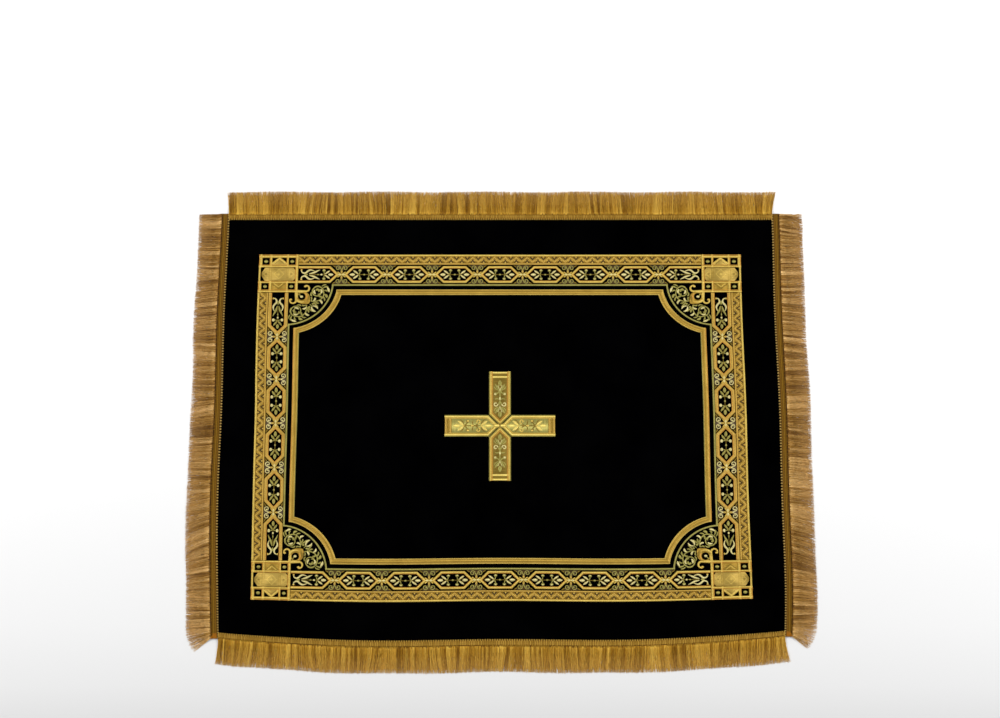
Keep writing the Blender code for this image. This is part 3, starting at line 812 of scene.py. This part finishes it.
def cartouches(side, looks):
    """One side's chain of cartouches, with a longer one at each end that runs to the corner block."""
    work = Work("cartouche_work_" + side, side_point(side))
    chain = work.within(chain_point)
    end = side_length(side) - SEAM_GAP
    upright = side in ("right", "left")
    count = CARTOUCHES_UP if upright else CARTOUCHES_ALONG
    pitch = PITCH_UP if upright else PITCH_ALONG
    width = 4.5 if upright else 3.2
    # Painted light by direction: the upright chains take a darker strap and swap the lighter and darker
    # finishes of petals, buds and the junctions' curls, for how the light catches threads laid one way or the
    # other
    strap = WARM if upright else PALE
    petal, bud = (SILVER, LEMON) if upright else (LEMON, SILVER)
    joints = [(i - count / 2) * pitch for i in range(count + 1)]
    for at in joints:
        junction(work, at, bud)
    for a, b in zip(joints, joints[1:]):
        left = a + TIP_TO_JUNCTION
        right = b - TIP_TO_JUNCTION
        cartouche_straps(chain, left, right, width, strap)
        whole_motif(chain, (left + right) / 2, (right - left) / 2, petal, bud)
    first = joints[0] - TIP_TO_JUNCTION
    last = joints[-1] + TIP_TO_JUNCTION
    cartouche_straps(chain, -end, first, width, strap, flat=-1)
    cartouche_straps(chain, last, end, width, strap, flat=1)
    end_motif(chain, first, 1, petal, bud)
    end_motif(chain, last, -1, petal, bud)
    return work.finish(looks)


def block(number, across, up, looks):
    """A corner square: straps each way, a satin bar over its middle row, chevrons and dotted cells."""
    work = Work("corner_block_work_%d" % number, corner_point(across, up))
    straps = BLOCK_STRAPS
    gaps = [(a[1], b[0]) for a, b in zip(straps, straps[1:])]
    wide_low, wide_high = gaps[1]
    centre = (wide_low + wide_high) / 2

    def chevron(outward, sides, tip):
        return [(wide_low - outward, sides), (centre, tip), (wide_high + outward, sides)]

    for low, high in (gaps[0], gaps[2]):
        for other_low, other_high in (gaps[0], gaps[2]):
            work.bead((low + high) / 2, (other_low + other_high) / 2, 4.8, 4.4, 0.9, SILVER)
    bar = [(3.8, 23.6), (8.2, 16.9), (43.6, 16.9), (46.6, 20.6)]
    bar += [(a, 51.6 - b) for a, b in reversed(bar)]
    work.patch(bar, 1.25, MOSS, thread=0)
    for low, high in straps[1:3]:
        for edge in (low + 0.4, high - 0.4):
            work.strap([(edge, 17.2), (edge, 34.4)], 0.5, 1.32, GOLD, bed=1.1)
    diamond = [(centre - 6.4, 25.8), (centre, 19.6), (centre + 6.4, 25.8), (centre, 32.0)]
    work.strap(diamond, 0.8, 1.35, PALE, bed=1.1, closed=True)
    for turn in (0, 90):
        work.bead(centre, 25.8, 4.6, 1.6, 1.35, PALE, turn, bed=1.1)
    for spot, lean in ((9.6, 1), (41.2, -1)):
        arrow = [(spot - 3.4 * lean, 25.8), (spot + 2.4 * lean, 20.2), (spot + 2.4 * lean, 31.4)]
        work.strap(arrow, 0.7, 1.35, PALE, bed=1.1, closed=True)
        work.leaf((spot - 2.0, 25.8), (spot, 25.8), (spot + 2.0, 25.8), 2.2, 1.32, OLIVE, bed=1.1)
    lower = [(wide_low - 0.2, 14.2), (wide_high + 0.2, 14.2), (wide_high + 0.2, 11.4), (centre, 4.2),
             (wide_low - 0.2, 11.4)]
    work.patch(lower, 0.75, MOSS, thread=0)
    work.strap(chevron(0.4, 12.2, 4.6), 2.9, 1.1, PALE)
    work.strap(chevron(-2.6, 13.0, 7.5), 0.5, 0.95, OLIVE, bed=0.6)
    upper = [(wide_low - 0.3, 37.2), (wide_high + 0.3, 37.2), (wide_high + 0.3, 46.6), (wide_low - 0.3, 46.6)]
    work.patch(upper, 0.85, GOLD, thread=0)
    work.strap(chevron(-0.6, 38.2, 45.0), 0.9, 1.15, OLIVE, bed=0.7)
    work.strap(chevron(-3.4, 38.2, 42.6), 1.1, 1.15, PALE, bed=0.7)
    for k, (low, high) in enumerate(straps):
        middle = (low + high) / 2
        for upright in (False, True):
            turn = swapped if upright else list
            over = 1.15 if (k + upright) % 2 else 1.0
            runs = [(0.0, BLOCK)]
            if upright and k < 3:
                runs = [(0.0, straps[1][1]), (straps[2][0], BLOCK)]
            for start, stop in runs:
                path = turn([(start, middle), (stop, middle)])
                work.strap(path, high - low, over - 0.25, GOLD, profile=FLAT_PROFILE, step=12.5)
                for share, part, finish in ((-0.36, 0.24, AMBER), (0.12, 0.6, PALE)):
                    at = middle + share * (high - low)
                    path = turn([(start, at), (stop, at)])
                    work.strap(path, part * (high - low), over, finish, bed=0.5, step=12.5)
    work.strap([(1.3, straps[1][0]), (1.3, straps[2][1])], 2.6, 1.0, PALE)
    return work.finish(looks)


def scroll(number, across, up, looks):
    """The straps' looped end, their hooks, a trefoil and a leafy spiral on each side."""
    work = Work("corner_scroll_work_%d" % number, corner_point(across, up))
    middle = (55.4, 55.4)
    turns = (-130, -60, -30, 0, 24, 45, 66, 90, 120, 150, 220)
    reaches = (7.2, 7.4, 8.6, 10.2, 11.0, 13.6, 11.0, 10.2, 8.6, 7.4, 7.2)
    path = []
    widths = []
    for i in range(37):
        angle = -130 + 350 * i / 36
        reach = float(np.interp(angle, turns, reaches))
        path += arc(middle, (4.6 + reach) / 2, angle, angle, 1)[:1]
        widths.append(reach - 4.6)
    work.ribbon(path, widths, 1.2, GOLD)
    # Painted light on the loop: a pale painted highlight arc at its upper left and an amber arc of painted
    # light on its right inner side. An olive line runs along its right outer edge.
    shine = arc(middle, 7.7, 66, 168, 14)
    work.ribbon(shine, swelling(len(shine), 0.6, 3.2, 0.5, 0.6), 1.4, PALE, bed=0.8)
    glow = arc(middle, 6.4, -46, 40, 12)
    work.ribbon(glow, swelling(len(glow), 0.5, 2.2, 0.5, 0.5), 1.35, AMBER, bed=0.8)
    edge = arc(middle, 9.2, -10, 40, 8)
    work.ribbon(edge, swelling(len(edge), 0.4, 1.4, 0.5, 0.5), 1.3, OLIVE, bed=0.8)
    work.bead(55.2, 55.6, 3.8, 3.6, 0.95, LEMON)
    work.leaf((51.4, 51.4), (53.0, 53.6), (54.6, 55.0), 1.6, 0.85, SILVER)
    for flip in (False, True):
        turn = swapped if flip else list
        hook = [(48.0, 49.6), (48.2, 55.0)] + arc((44.6, 60.6), 3.9, 4, 194, 12)
        work.ribbon(turn(hook), [3.2, 2.9] + [2.8 - 0.05 * i for i in range(13)], 1.1, PALE)
        work.bead(*turn([(41.8, 59.6)])[0], 3.4, 3.2, 1.15, PALE)
        join = [(48.8, 49.6), (49.4, 53.0), (49.4, 57.4)]
        work.ribbon(turn(join), [2.8, 2.6, 2.2], 1.1, PALE)
        vine(work, turn)
    for spot in ((65.4, 69.8), (69.8, 65.4)):
        work.bead(*spot, 3.2, 3.0, 0.9, SILVER)
    trefoil(work)
    return work.finish(looks)


def trefoil(work):
    """A three-petalled flower on the diagonal, beyond the loop's corner."""
    work.ribbon([(66.0, 66.0), (67.6, 67.6), (69.0, 69.0)], [1.0, 1.3, 1.2], 0.8, SILVER)
    work.leaf((68.4, 69.2), (67.8, 75.0), (73.8, 76.0), 3.2, 1.0, LEMON, 1.1, 0.6)
    work.leaf((69.2, 68.4), (75.0, 67.8), (76.0, 72.6), 2.6, 1.0, LEMON, 1.1, 0.6)


def vine(work, turn):
    """Half of the corner's leaf scroll: a stem that winds into a spiral, with leaves on both its sides."""
    centre = (49.2, 75.0)
    stem = curve((61.4, 66.8), (63.2, 75.6), (58.4, 80.4), 6)
    over = curve((58.4, 80.4), (54.4, 84.2), (49.2, 82.6), 5)
    winding = spiral(centre, 7.6, 2.6, 90, 90 + 500, 34)
    path = stem[:-1] + over[:-1] + winding
    work.ribbon(turn(path), [1.7] * (len(path) - 6) + [1.9, 2.3, 2.8, 3.0, 2.3, 0.9], 0.85, SILVER)
    leaves = (
        ((44.0, 81.6), (41.2, 85.8), (42.6, 88.6), 2.6, SILVER),
        ((42.8, 86.8), (45.4, 89.2), (49.8, 89.6), 3.2, LEMON),
        ((47.4, 83.4), (46.2, 86.6), (49.4, 87.2), 2.2, SILVER),
        ((52.6, 83.4), (53.2, 87.2), (57.6, 86.8), 3.6, SILVER),
        ((55.4, 82.0), (58.4, 85.2), (61.8, 84.0), 2.2, SILVER),
        ((60.6, 77.2), (61.6, 81.6), (65.8, 80.8), 3.0, LEMON),
        ((62.4, 72.4), (65.0, 74.4), (64.6, 77.6), 2.4, SILVER),
        ((62.0, 70.4), (66.2, 72.2), (69.4, 76.4), 2.2, SILVER),
        ((61.8, 69.6), (59.4, 73.4), (56.8, 71.8), 2.8, LEMON),
        ((60.8, 67.2), (57.2, 69.0), (56.2, 66.4), 2.2, SILVER),
        ((57.6, 80.8), (54.8, 80.4), (55.8, 76.4), 2.6, SILVER),
        ((45.6, 79.0), (48.8, 82.0), (51.6, 78.8), 2.4, LEMON),
        ((44.6, 74.2), (46.6, 77.6), (49.6, 76.6), 2.4, SILVER),
        ((46.4, 71.4), (49.6, 69.8), (52.2, 73.0), 2.8, LEMON),
        ((52.2, 75.4), (53.2, 78.2), (50.4, 78.8), 2.0, SILVER),
        ((42.6, 71.0), (41.2, 74.6), (41.8, 78.6), 2.0, SILVER),
        ((49.6, 67.4), (53.4, 65.6), (55.2, 68.8), 2.2, SILVER),
        ((42.0, 80.2), (39.4, 82.6), (39.6, 86.2), 2.0, SILVER),
    )
    for start, bend, end, width, finish in leaves:
        work.leaf(*turn([start, bend, end]), width, 0.95, finish, 1.0, 0.6)


def curved_in_corner(depth, radius, steps):
    """One corner of a line that is curved in there, from the side's line to the lower line."""
    reach = ARC_CENTRE + math.sqrt(radius**2 - (depth - ARC_CENTRE) ** 2)
    start = math.degrees(math.atan2(depth - ARC_CENTRE, reach - ARC_CENTRE))
    return arc((ARC_CENTRE, ARC_CENTRE), radius, start, 90 - start, steps)


def curved_in_band(work, depths, radii, parts):
    """A closed band between two depths, curved in at its corners, of parts across it with finishes."""
    middle_depth = (depths[0] + depths[1]) / 2
    middle_radius = (radii[0] + radii[1]) / 2
    width_straight = depths[1] - depths[0]
    width_arc = radii[1] - radii[0]
    for centre, share, rise, finish, side_finish, bed in parts:
        depth = middle_depth + centre * width_straight
        radius = middle_radius + centre * width_arc
        corner = curved_in_corner(depth, radius, 22)
        for across, up in ((-1, -1), (1, -1), (1, 1), (-1, 1)):
            path = [corner_point(across, up)(*point) for point in corner]
            work.ribbon(path, width_arc * share, rise, finish, bed, FLAT_PROFILE)
        reach = corner[0][0]
        for up in (-1, 1):
            v = up * (BORDER_HALF_V - depth * DEPTH_SCALE_V)
            u = BORDER_HALF_U - reach * DEPTH_SCALE_U + width_straight * share * 0.5
            work.strap([(-u, v), (u, v)], width_straight * share, rise, finish, bed, profile=FLAT_PROFILE)
        for across in (-1, 1):
            u = across * (BORDER_HALF_U - depth * DEPTH_SCALE_U)
            v = BORDER_HALF_V - reach * DEPTH_SCALE_V + width_straight * share * 0.5
            path = [(u, -v), (u, v)]
            # The upright runs take their own finish, which can be a lighter or darker copy: painted light by
            # direction
            work.strap(path, width_straight * share, rise, side_finish, bed, profile=FLAT_PROFILE)


def same_place(u, v):
    return u, v


def inner_line(looks):
    work = Work("inner_line_work", same_place)
    parts = ((0.0, 1.0, 0.9, SILVER, SILVER, BED),)
    curved_in_band(work, (LINE_OUTER, LINE_INNER), (LINE_ARC_OUTER, LINE_ARC_INNER), parts)
    return work.finish(looks)


def contour(looks):
    work = Work("contour_work", same_place)
    # Painted light by direction: the two edge lines are pale on the lower and upper runs and the corners, and
    # amber and silver on the upright runs
    parts = (
        (0.0, 1.0, 0.85, WARM, WARM, BED),
        (-0.43, 0.12, 1.0, PALE, AMBER, 0.6),
        (0.43, 0.12, 1.0, PALE, SILVER, 0.6),
        (0.05, 0.5, 0.96, GOLD, GOLD, 0.6),
    )
    curved_in_band(work, (CONTOUR_OUTER, CONTOUR_INNER), (CONTOUR_ARC_OUTER, CONTOUR_ARC_INNER), parts)
    return work.finish(looks)


def framed(offset):
    """One arm's frame at a distance in from the arm's edge: its sides and the point at the centre."""
    side = CROSS_ARM - offset
    turn = CROSS_ARM + offset * (math.sqrt(2) - 1)
    end = CROSS_HALF - 0.2
    return [(end, side), (turn, side), (offset * math.sqrt(2), 0.0), (turn, -side), (end, -side)]


def cross(looks):
    """The centre cross: four framed arms on a padded ground, each with two lilies, buds and curls."""
    work = Work("centre_cross_work", cross_point)
    for quarter in range(4):
        upright = quarter % 2 == 1
        # Painted light by direction: each arm's frame, panel, petals, small work, lines and end bars take
        # lighter or darker thread finishes by which way the arm runs, for how the light catches threads laid
        # one way or the other
        frame_finish, panel_finish, petal = (PALE, OLIVE, SILVER) if upright else (LIT_GOLD, SILVER, LIT_GOLD)
        small, line = (LEMON, SILVER) if upright else (PALE, OLIVE)
        arm = work.within(turned(quarter))
        ground = [(0.4, 0.0), (CROSS_ARM, CROSS_ARM - 0.6), (CROSS_HALF - 0.3, CROSS_ARM - 0.4),
                  (CROSS_HALF - 0.3, -CROSS_ARM + 0.4), (CROSS_ARM, -CROSS_ARM + 0.6)]
        arm.patch(ground, 0.55, OLIVE, bevel=0.2)
        panel = [(7.0, 0.0), (15.4, 8.8), (60.9, 9.2), (60.9, -9.2), (15.4, -8.8)]
        arm.patch(panel, 0.75, panel_finish, thread=90, bed=0.4)
        arm.strap(framed(0.9), 1.0, 1.05, SILVER)
        arm.strap(framed(2.7), 3.0, 1.35, frame_finish)
        arm.strap(framed(4.7), 1.1, 1.2, AMBER if upright else PALE, bed=0.4)
        for low, high in ((61.0, 64.0), (66.6, CROSS_HALF - 0.4)):
            middle = (low + high) / 2
            arm.strap([(middle, -9.4), (middle, 9.4)], high - low, 1.3, LIT_GOLD if upright else WARM, bed=0.4)
        arm.strap([(65.3, -8.4), (65.3, 8.4)], 1.8, 0.8, OLIVE if upright else GOLD, bed=0.4)
        for tip, direction in ((58.4, 1), (10.6, -1)):
            lily(arm, tip, direction, 1.14, petal, small, 1.3, 0.65)
            for up in (-1, 1):
                start = (tip - 13.4 * direction, 1.0 * up)
                bend = (tip - 12.0 * direction, 6.4 * up)
                arm.leaf(start, bend, (tip - 7.4 * direction, 7.9 * up), 1.7, 1.0, line, bed=0.65)
        arm.ribbon([(24.0, 0), (34.6, 0), (46.0, 0)], [1.2, 2.0, 1.2], 1.05, line, 0.65)
        arm.bead(34.8, 0, 4.4, 2.6, 1.25, small, bed=0.65)
        for up in (-1, 1):
            arm.bead(40.7, 5.5 * up, 4.2, 4.0, 1.15, line, bed=0.65)
            arm.bead(40.3, 6.0 * up, 2.8, 2.8, 1.35, small, bed=0.9)
            arm.leaf((45.6, 0.6 * up), (41.6, 1.4 * up), (41.2, 4.6 * up), 1.9, 1.05, line, bed=0.65)
            curl = spiral((27.6, 5.3 * up), 2.8, 1.0, -90 * up, -90 * up - 330 * up, 12)
            arm.ribbon(curl, 1.7, 1.2, small, 0.65)
            arm.leaf((31.4, 0.5 * up), (28.6, 1.0 * up), (27.6, 2.7 * up), 1.8, 1.05, line, bed=0.65)
            arm.leaf((33.0, 0.6 * up), (36.0, 3.2 * up), (33.4, 6.8 * up), 1.9, 1.0, line, bed=0.65)
    for direction in (-1, 1):
        work.bead(3.8 * direction, 0, 6.8, 5.2, 2.3, LIT_GOLD, bed=0.8)
        work.bead(0, 3.0 * direction, 3.0, 2.4, 1.5, GOLD, turn=90)
    return work.finish(looks)


def fringe_ends(side):
    """Where a side's fringe starts and ends along it, how wide its heading is and how far it reaches."""
    if side in ("bottom", "top"):
        half = VELVET_HALF_U - SEAM_GAP
        if side == "bottom":
            return -half, half, HEADING_LOWER, FRINGE_LOWER
        return -half, half, HEADING_UPPER, FRINGE_UPPER
    low = VELVET_HALF_V + HEADING_LOWER
    high = VELVET_HALF_V + HEADING_UPPER
    if side == "left":
        low, high = high, low
    return -low, high, HEADING_SIDE, FRINGE_SIDE


def heading(side, looks):
    """The woven heading: a tape with ribs along it, cross threads over it and a row of small loops."""
    work = Work("heading_" + side, fringe_point(side), base=WORK_BASE - 0.1)
    start, end, wide, _ = fringe_ends(side)
    scale = wide / HEADING_SIDE
    bands = (
        (-0.2, 4.3, 0.62, GROUND),
        (0.9, 3.3, 0.95, BAND),
        (3.3, 5.2, 0.95, RIB),
        (5.2, 6.8, 1.1, BAND),
        (6.6, 9.7, 0.45, GROOVE),
    )
    for low, high, rise, finish in bands:
        middle = (low + high) / 2 * scale
        work.strap([(start, middle), (end, middle)], (high - low) * scale, rise, finish, bed=0.0)
    pitch = 3.6 if wide > 9 else 3.0
    count = round((end - start) / pitch)
    for i in range(count):
        at = start + (i + 0.5) * (end - start) / count
        work.bead(at, -0.5, pitch * 0.58, 2.6, 1.2, LOOPS)
    rng = random.Random(len(side) * 7 + 3)
    crossing = round((end - start) / 2.2)
    for i in range(crossing):
        at = start + (i + 0.5) * (end - start) / crossing + rng.uniform(-0.2, 0.2)
        if wide < 9:
            path = [(at, 0.2), (at + rng.uniform(-0.3, 0.3), 6.8 * scale)]
            work.ribbon(path, 1.25, 1.35, LOOPS if rng.random() < 0.6 else RIB, bed=0.2)
        if rng.random() < (0.72 if wide > 9 else 0.66 + 0.3 * math.sin(at / 31)):
            path = [(at, 6.2 * scale), (at + rng.uniform(-0.3, 0.3), 9.9 * scale)]
            finish = GROOVE if rng.random() < 0.3 else BAND
            work.ribbon(path, 0.9 if wide > 9 else 1.7, 1.05, finish, bed=0.2)
    if wide > 9:
        low_end = start if side == "right" else end
        turn = 1 if side == "right" else -1
        for k in range(4):
            at = low_end + turn * (1.2 + 1.9 * k)
            work.strap([(at, 1.0), (at, 8.4 - 0.9 * k)], 1.7, 1.2, CORNER_STITCHES, bed=0.3)
    return work.finish(looks)


def strands(side, look, seed):
    """The fringe's strands, three-sided and wavy, which fall to the table, over broader ones under them."""
    rng = np.random.default_rng(seed)
    start, end, wide, reach = fringe_ends(side)
    place = fringe_point(side)
    length = end - start
    slim = int(length * STRANDS_PER_MM)
    broad = int(length * UNDER_PER_MM)
    count = slim + broad
    spots = (np.arange(slim) + rng.uniform(0, 1, slim)) / slim
    roots = start + np.concatenate([spots, (np.arange(broad) + 0.5) / broad]) * length
    under = np.arange(count) >= slim
    edges = [start]
    while edges[-1] < end:
        edges.append(edges[-1] + rng.uniform(*CLUMP_WIDTHS))
    edges = np.array(edges)
    clump = np.searchsorted(edges, roots) - 1
    clump = np.clip(clump, 0, len(edges) - 2)
    middles = (edges[clump] + np.minimum(edges[clump + 1], end)) / 2
    gather = rng.uniform(0.0, 0.1, len(edges))[clump]
    lean = (rng.normal(0, 0.3, len(edges))[clump] + rng.normal(0, 0.9, count)) * ~under
    long_lean = 2.4 * np.sin(roots / 24 + seed) + 1.3 * np.sin(roots / 8.5 + 2 * seed)
    tone = 0.5 + 0.24 * rng.normal(0, 1, len(edges))[clump] + 0.26 * rng.normal(0, 1, count)
    # Painted shade: the broad strands under the others get a darker tone, for the shade between and under the
    # strands
    tone = np.clip(tone - 0.2 * under, 0, 1)
    near_start = np.clip(1 - (roots - start) / FLARE_LENGTH, 0, 1)
    near_end = np.clip(1 - (end - roots) / FLARE_LENGTH, 0, 1)
    flare = (near_end**1.5 - near_start**1.5) * 2.4
    fan = np.zeros(count)
    if wide > 9:
        downward = -1 if side == "right" else 1
        v = -downward * roots
        flare = flare + downward * (1.2 + DROOP * np.exp(-(((v - DROOP_AT) / DROOP_WIDTH) ** 2)))
        fan = downward * 0.55 * (near_start if side == "right" else near_end) ** 1.6
    shorter = {"bottom": 2.2, "left": 0.9}.get(side, 0.0)
    tips = reach + 0.1 - shorter + rng.normal(0, 0.5, count) + 0.5 * np.sin(roots / 21 + seed)
    tips = np.minimum(tips, reach + 1.2) - 3.5 * under
    layer = np.where(under, 0.15, rng.uniform(0.3, 1.9, count))
    phase = rng.uniform(0, math.tau, count)
    swing = rng.uniform(0.1, 0.45, count)
    waves = rng.uniform(1.6, 3.2, count)
    radius = np.where(under, UNDER_RADIUS, STRAND_RADIUS * rng.uniform(0.8, 1.25, count))
    root_at = wide - 1.2
    run = (tips - root_at) * (1 - 0.9 * fan**2)
    points = np.empty((count, STRAND_STEPS + 1, 3, 3))
    maps = np.empty((count, STRAND_STEPS + 1, 3, 2))
    for k in range(STRAND_STEPS + 1):
        t = k / STRAND_STEPS
        outward = root_at + run * t * np.cos(fan)
        along = roots + (middles - roots) * gather * t**1.3 + (lean + long_lean) * t**1.5 + flare * t**1.2
        along = along + run * t * np.sin(fan)
        along = along + swing * np.sin(phase + waves * math.tau * t) * min(1.0, 3 * t)
        fall = np.clip((outward - root_at) / FALL_LENGTH, 0, 1)
        ease = fall * fall * (3 - 2 * fall)
        height = 2.9 * (1 - ease) + (layer + 0.25 * np.sin(phase + 5 * t)) * ease
        height = np.maximum(height * (1 - 0.35 * t**3), 0.25)
        thin = radius * (1.0 if k < STRAND_STEPS else 0.55)
        for corner in range(3):
            angle = math.tau * corner / 3 + math.pi / 2
            side_shift = along + thin * math.cos(angle)
            z = np.maximum(height + thin * math.sin(angle), 0.02)
            for i in range(count):
                u, v = place(side_shift[i], outward[i])
                x, y = lay(u, v)
                points[i, k, corner] = (x, y, z[i])
            maps[:, k, corner, 0] = outward
            maps[:, k, corner, 1] = tone
    ring = STRAND_STEPS + 1
    base = (np.arange(count) * ring * 3)[:, None, None]
    k = np.arange(STRAND_STEPS)[None, :, None] * 3
    corner = np.arange(3)[None, None, :]
    after = (corner + 1) % 3
    first = base + k + corner
    second = base + k + after
    faces = np.stack([first, second, second + 3, first + 3], axis=-1).reshape(-1, 4)
    mesh = new_mesh("strands_" + side, points.reshape(-1, 3).tolist(), faces.tolist())
    map_threads(mesh, maps.reshape(-1, 2))
    mesh.validate()
    return placed(mesh, [look])


def area_light(name, place, target, size, power):
    data = bpy.data.lights.new(name, "AREA")
    data.shape = "DISK"
    data.size = size
    data.energy = power
    light = bpy.data.objects.new(name, data)
    bpy.context.scene.collection.objects.link(light)
    light.location = place
    aim = np.array(target) - np.array(place)
    flat = math.hypot(aim[0], aim[1])
    light.rotation_euler = (math.atan2(flat, -aim[2]), 0.0, math.atan2(-aim[0], aim[1]) if flat else 0.0)


def table_top():
    """The white table, with painted shade that makes it a little darker towards its front."""
    mesh = bpy.data.meshes.new("table_top")
    corners = [(x * TABLE_HALF, y * TABLE_HALF, 0) for x, y in ((-1, -1), (1, -1), (1, 1), (-1, 1))]
    mesh.from_pydata(corners, [], [(0, 1, 2, 3)])
    look = Shader("white table")
    split = look.node("ShaderNodeSeparateXYZ", look.place())
    # Painted shade: the table's grey darkens towards its front
    forward = look.calculate("MULTIPLY", look.calculate("ADD", split.outputs["Y"], 0.4), 1.25)
    look.paint(look.ramp(forward, [(at, linear(shade, shade, shade)) for at, shade in TABLE_PAINTED_SHADE]))
    look.set(Roughness=0.75, Specular_IOR_Level=0.1)
    mesh.materials.append(look.material)
    table = bpy.data.objects.new("table_top", mesh)
    bpy.context.scene.collection.objects.link(table)


def studio():
    scene = bpy.context.scene
    world = bpy.data.worlds.new("studio")
    world.use_nodes = True
    world.node_tree.nodes["Background"].inputs["Color"].default_value = (1.0, 1.0, 1.0, 1.0)
    world.node_tree.nodes["Background"].inputs["Strength"].default_value = 0.5
    scene.world = world
    scene.view_settings.view_transform = "Standard"
    area_light("left_light", (-1.7, 0.2, 1.7), (0.0, 0.05, 0.0), 0.9, 24)
    area_light("right_light", (1.7, 0.2, 1.7), (0.0, 0.05, 0.0), 0.9, 26)
    area_light("back_light", (0.0, 1.6, 2.2), (0.0, 0.25, 0.0), 1.2, 5)
    tilt = math.radians(CAMERA_TILT)
    data = bpy.data.cameras.new("camera")
    data.lens = 50
    data.sensor_width = 36
    camera = bpy.data.objects.new("camera", data)
    scene.collection.objects.link(camera)
    x, y, z = CAMERA_TARGET
    camera.location = (x, y - math.sin(tilt) * CAMERA_DISTANCE, z + math.cos(tilt) * CAMERA_DISTANCE)
    camera.rotation_euler = (tilt, 0.0, 0.0)
    scene.camera = camera


def build():
    looks = [thread(*row) for row in THREADS]
    # The sides' heading takes the darker braid colours: painted shade by direction
    side_braid = []
    for name, pitch, dark, light, _, _ in BRAIDS:
        side_braid.append(woven("side heading " + name, dark, light, pitch))
    side_braid.append(woven("corner stitches", (138, 82, 10), (190, 120, 26), 1.0))
    end_braid = []
    for name, pitch, _, _, dark, light in BRAIDS:
        end_braid.append(woven("end heading " + name, dark, light, pitch))
    # The sides' yarn is a duller, paler copy of the ends' yarn: painted light by direction
    side_yarn = yarn("side fringe yarn", SIDE_YARN, (216, 172, 112))
    end_yarn = yarn("end fringe yarn", END_YARN, (216, 172, 96))
    velvet = velvet_sheet(black_velvet())
    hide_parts("velvet_panel")
    laid = []
    for number, side in enumerate(("bottom", "right", "top", "left")):
        upright = side in ("left", "right")
        hem = heading(side, side_braid if upright else end_braid)
        locks = strands(side, side_yarn if upright else end_yarn, number + 5)
        for piece in (hem, locks):
            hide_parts("fringe_" + side)
            laid.append(piece)
        strip = zigzag(side, looks)
        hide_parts("zigzag_" + side)
        chain = cartouches(side, looks)
        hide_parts("cartouches_" + side)
        for piece in (strip, chain):
            laid.append(piece)
    for number, (across, up) in enumerate(((-1, -1), (1, -1), (1, 1), (-1, 1)), start=1):
        square = block(number, across, up, looks)
        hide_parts("corner_block_%d" % number)
        leafy = scroll(number, across, up, looks)
        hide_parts("corner_scroll_%d" % number)
        for piece in (square, leafy):
            laid.append(piece)
    line = inner_line(looks)
    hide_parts("inner_line")
    band = contour(looks)
    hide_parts("contour_band")
    emblem = cross(looks)
    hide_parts("centre_cross")
    laid += [line, band, emblem]


table_top()
studio()
build()
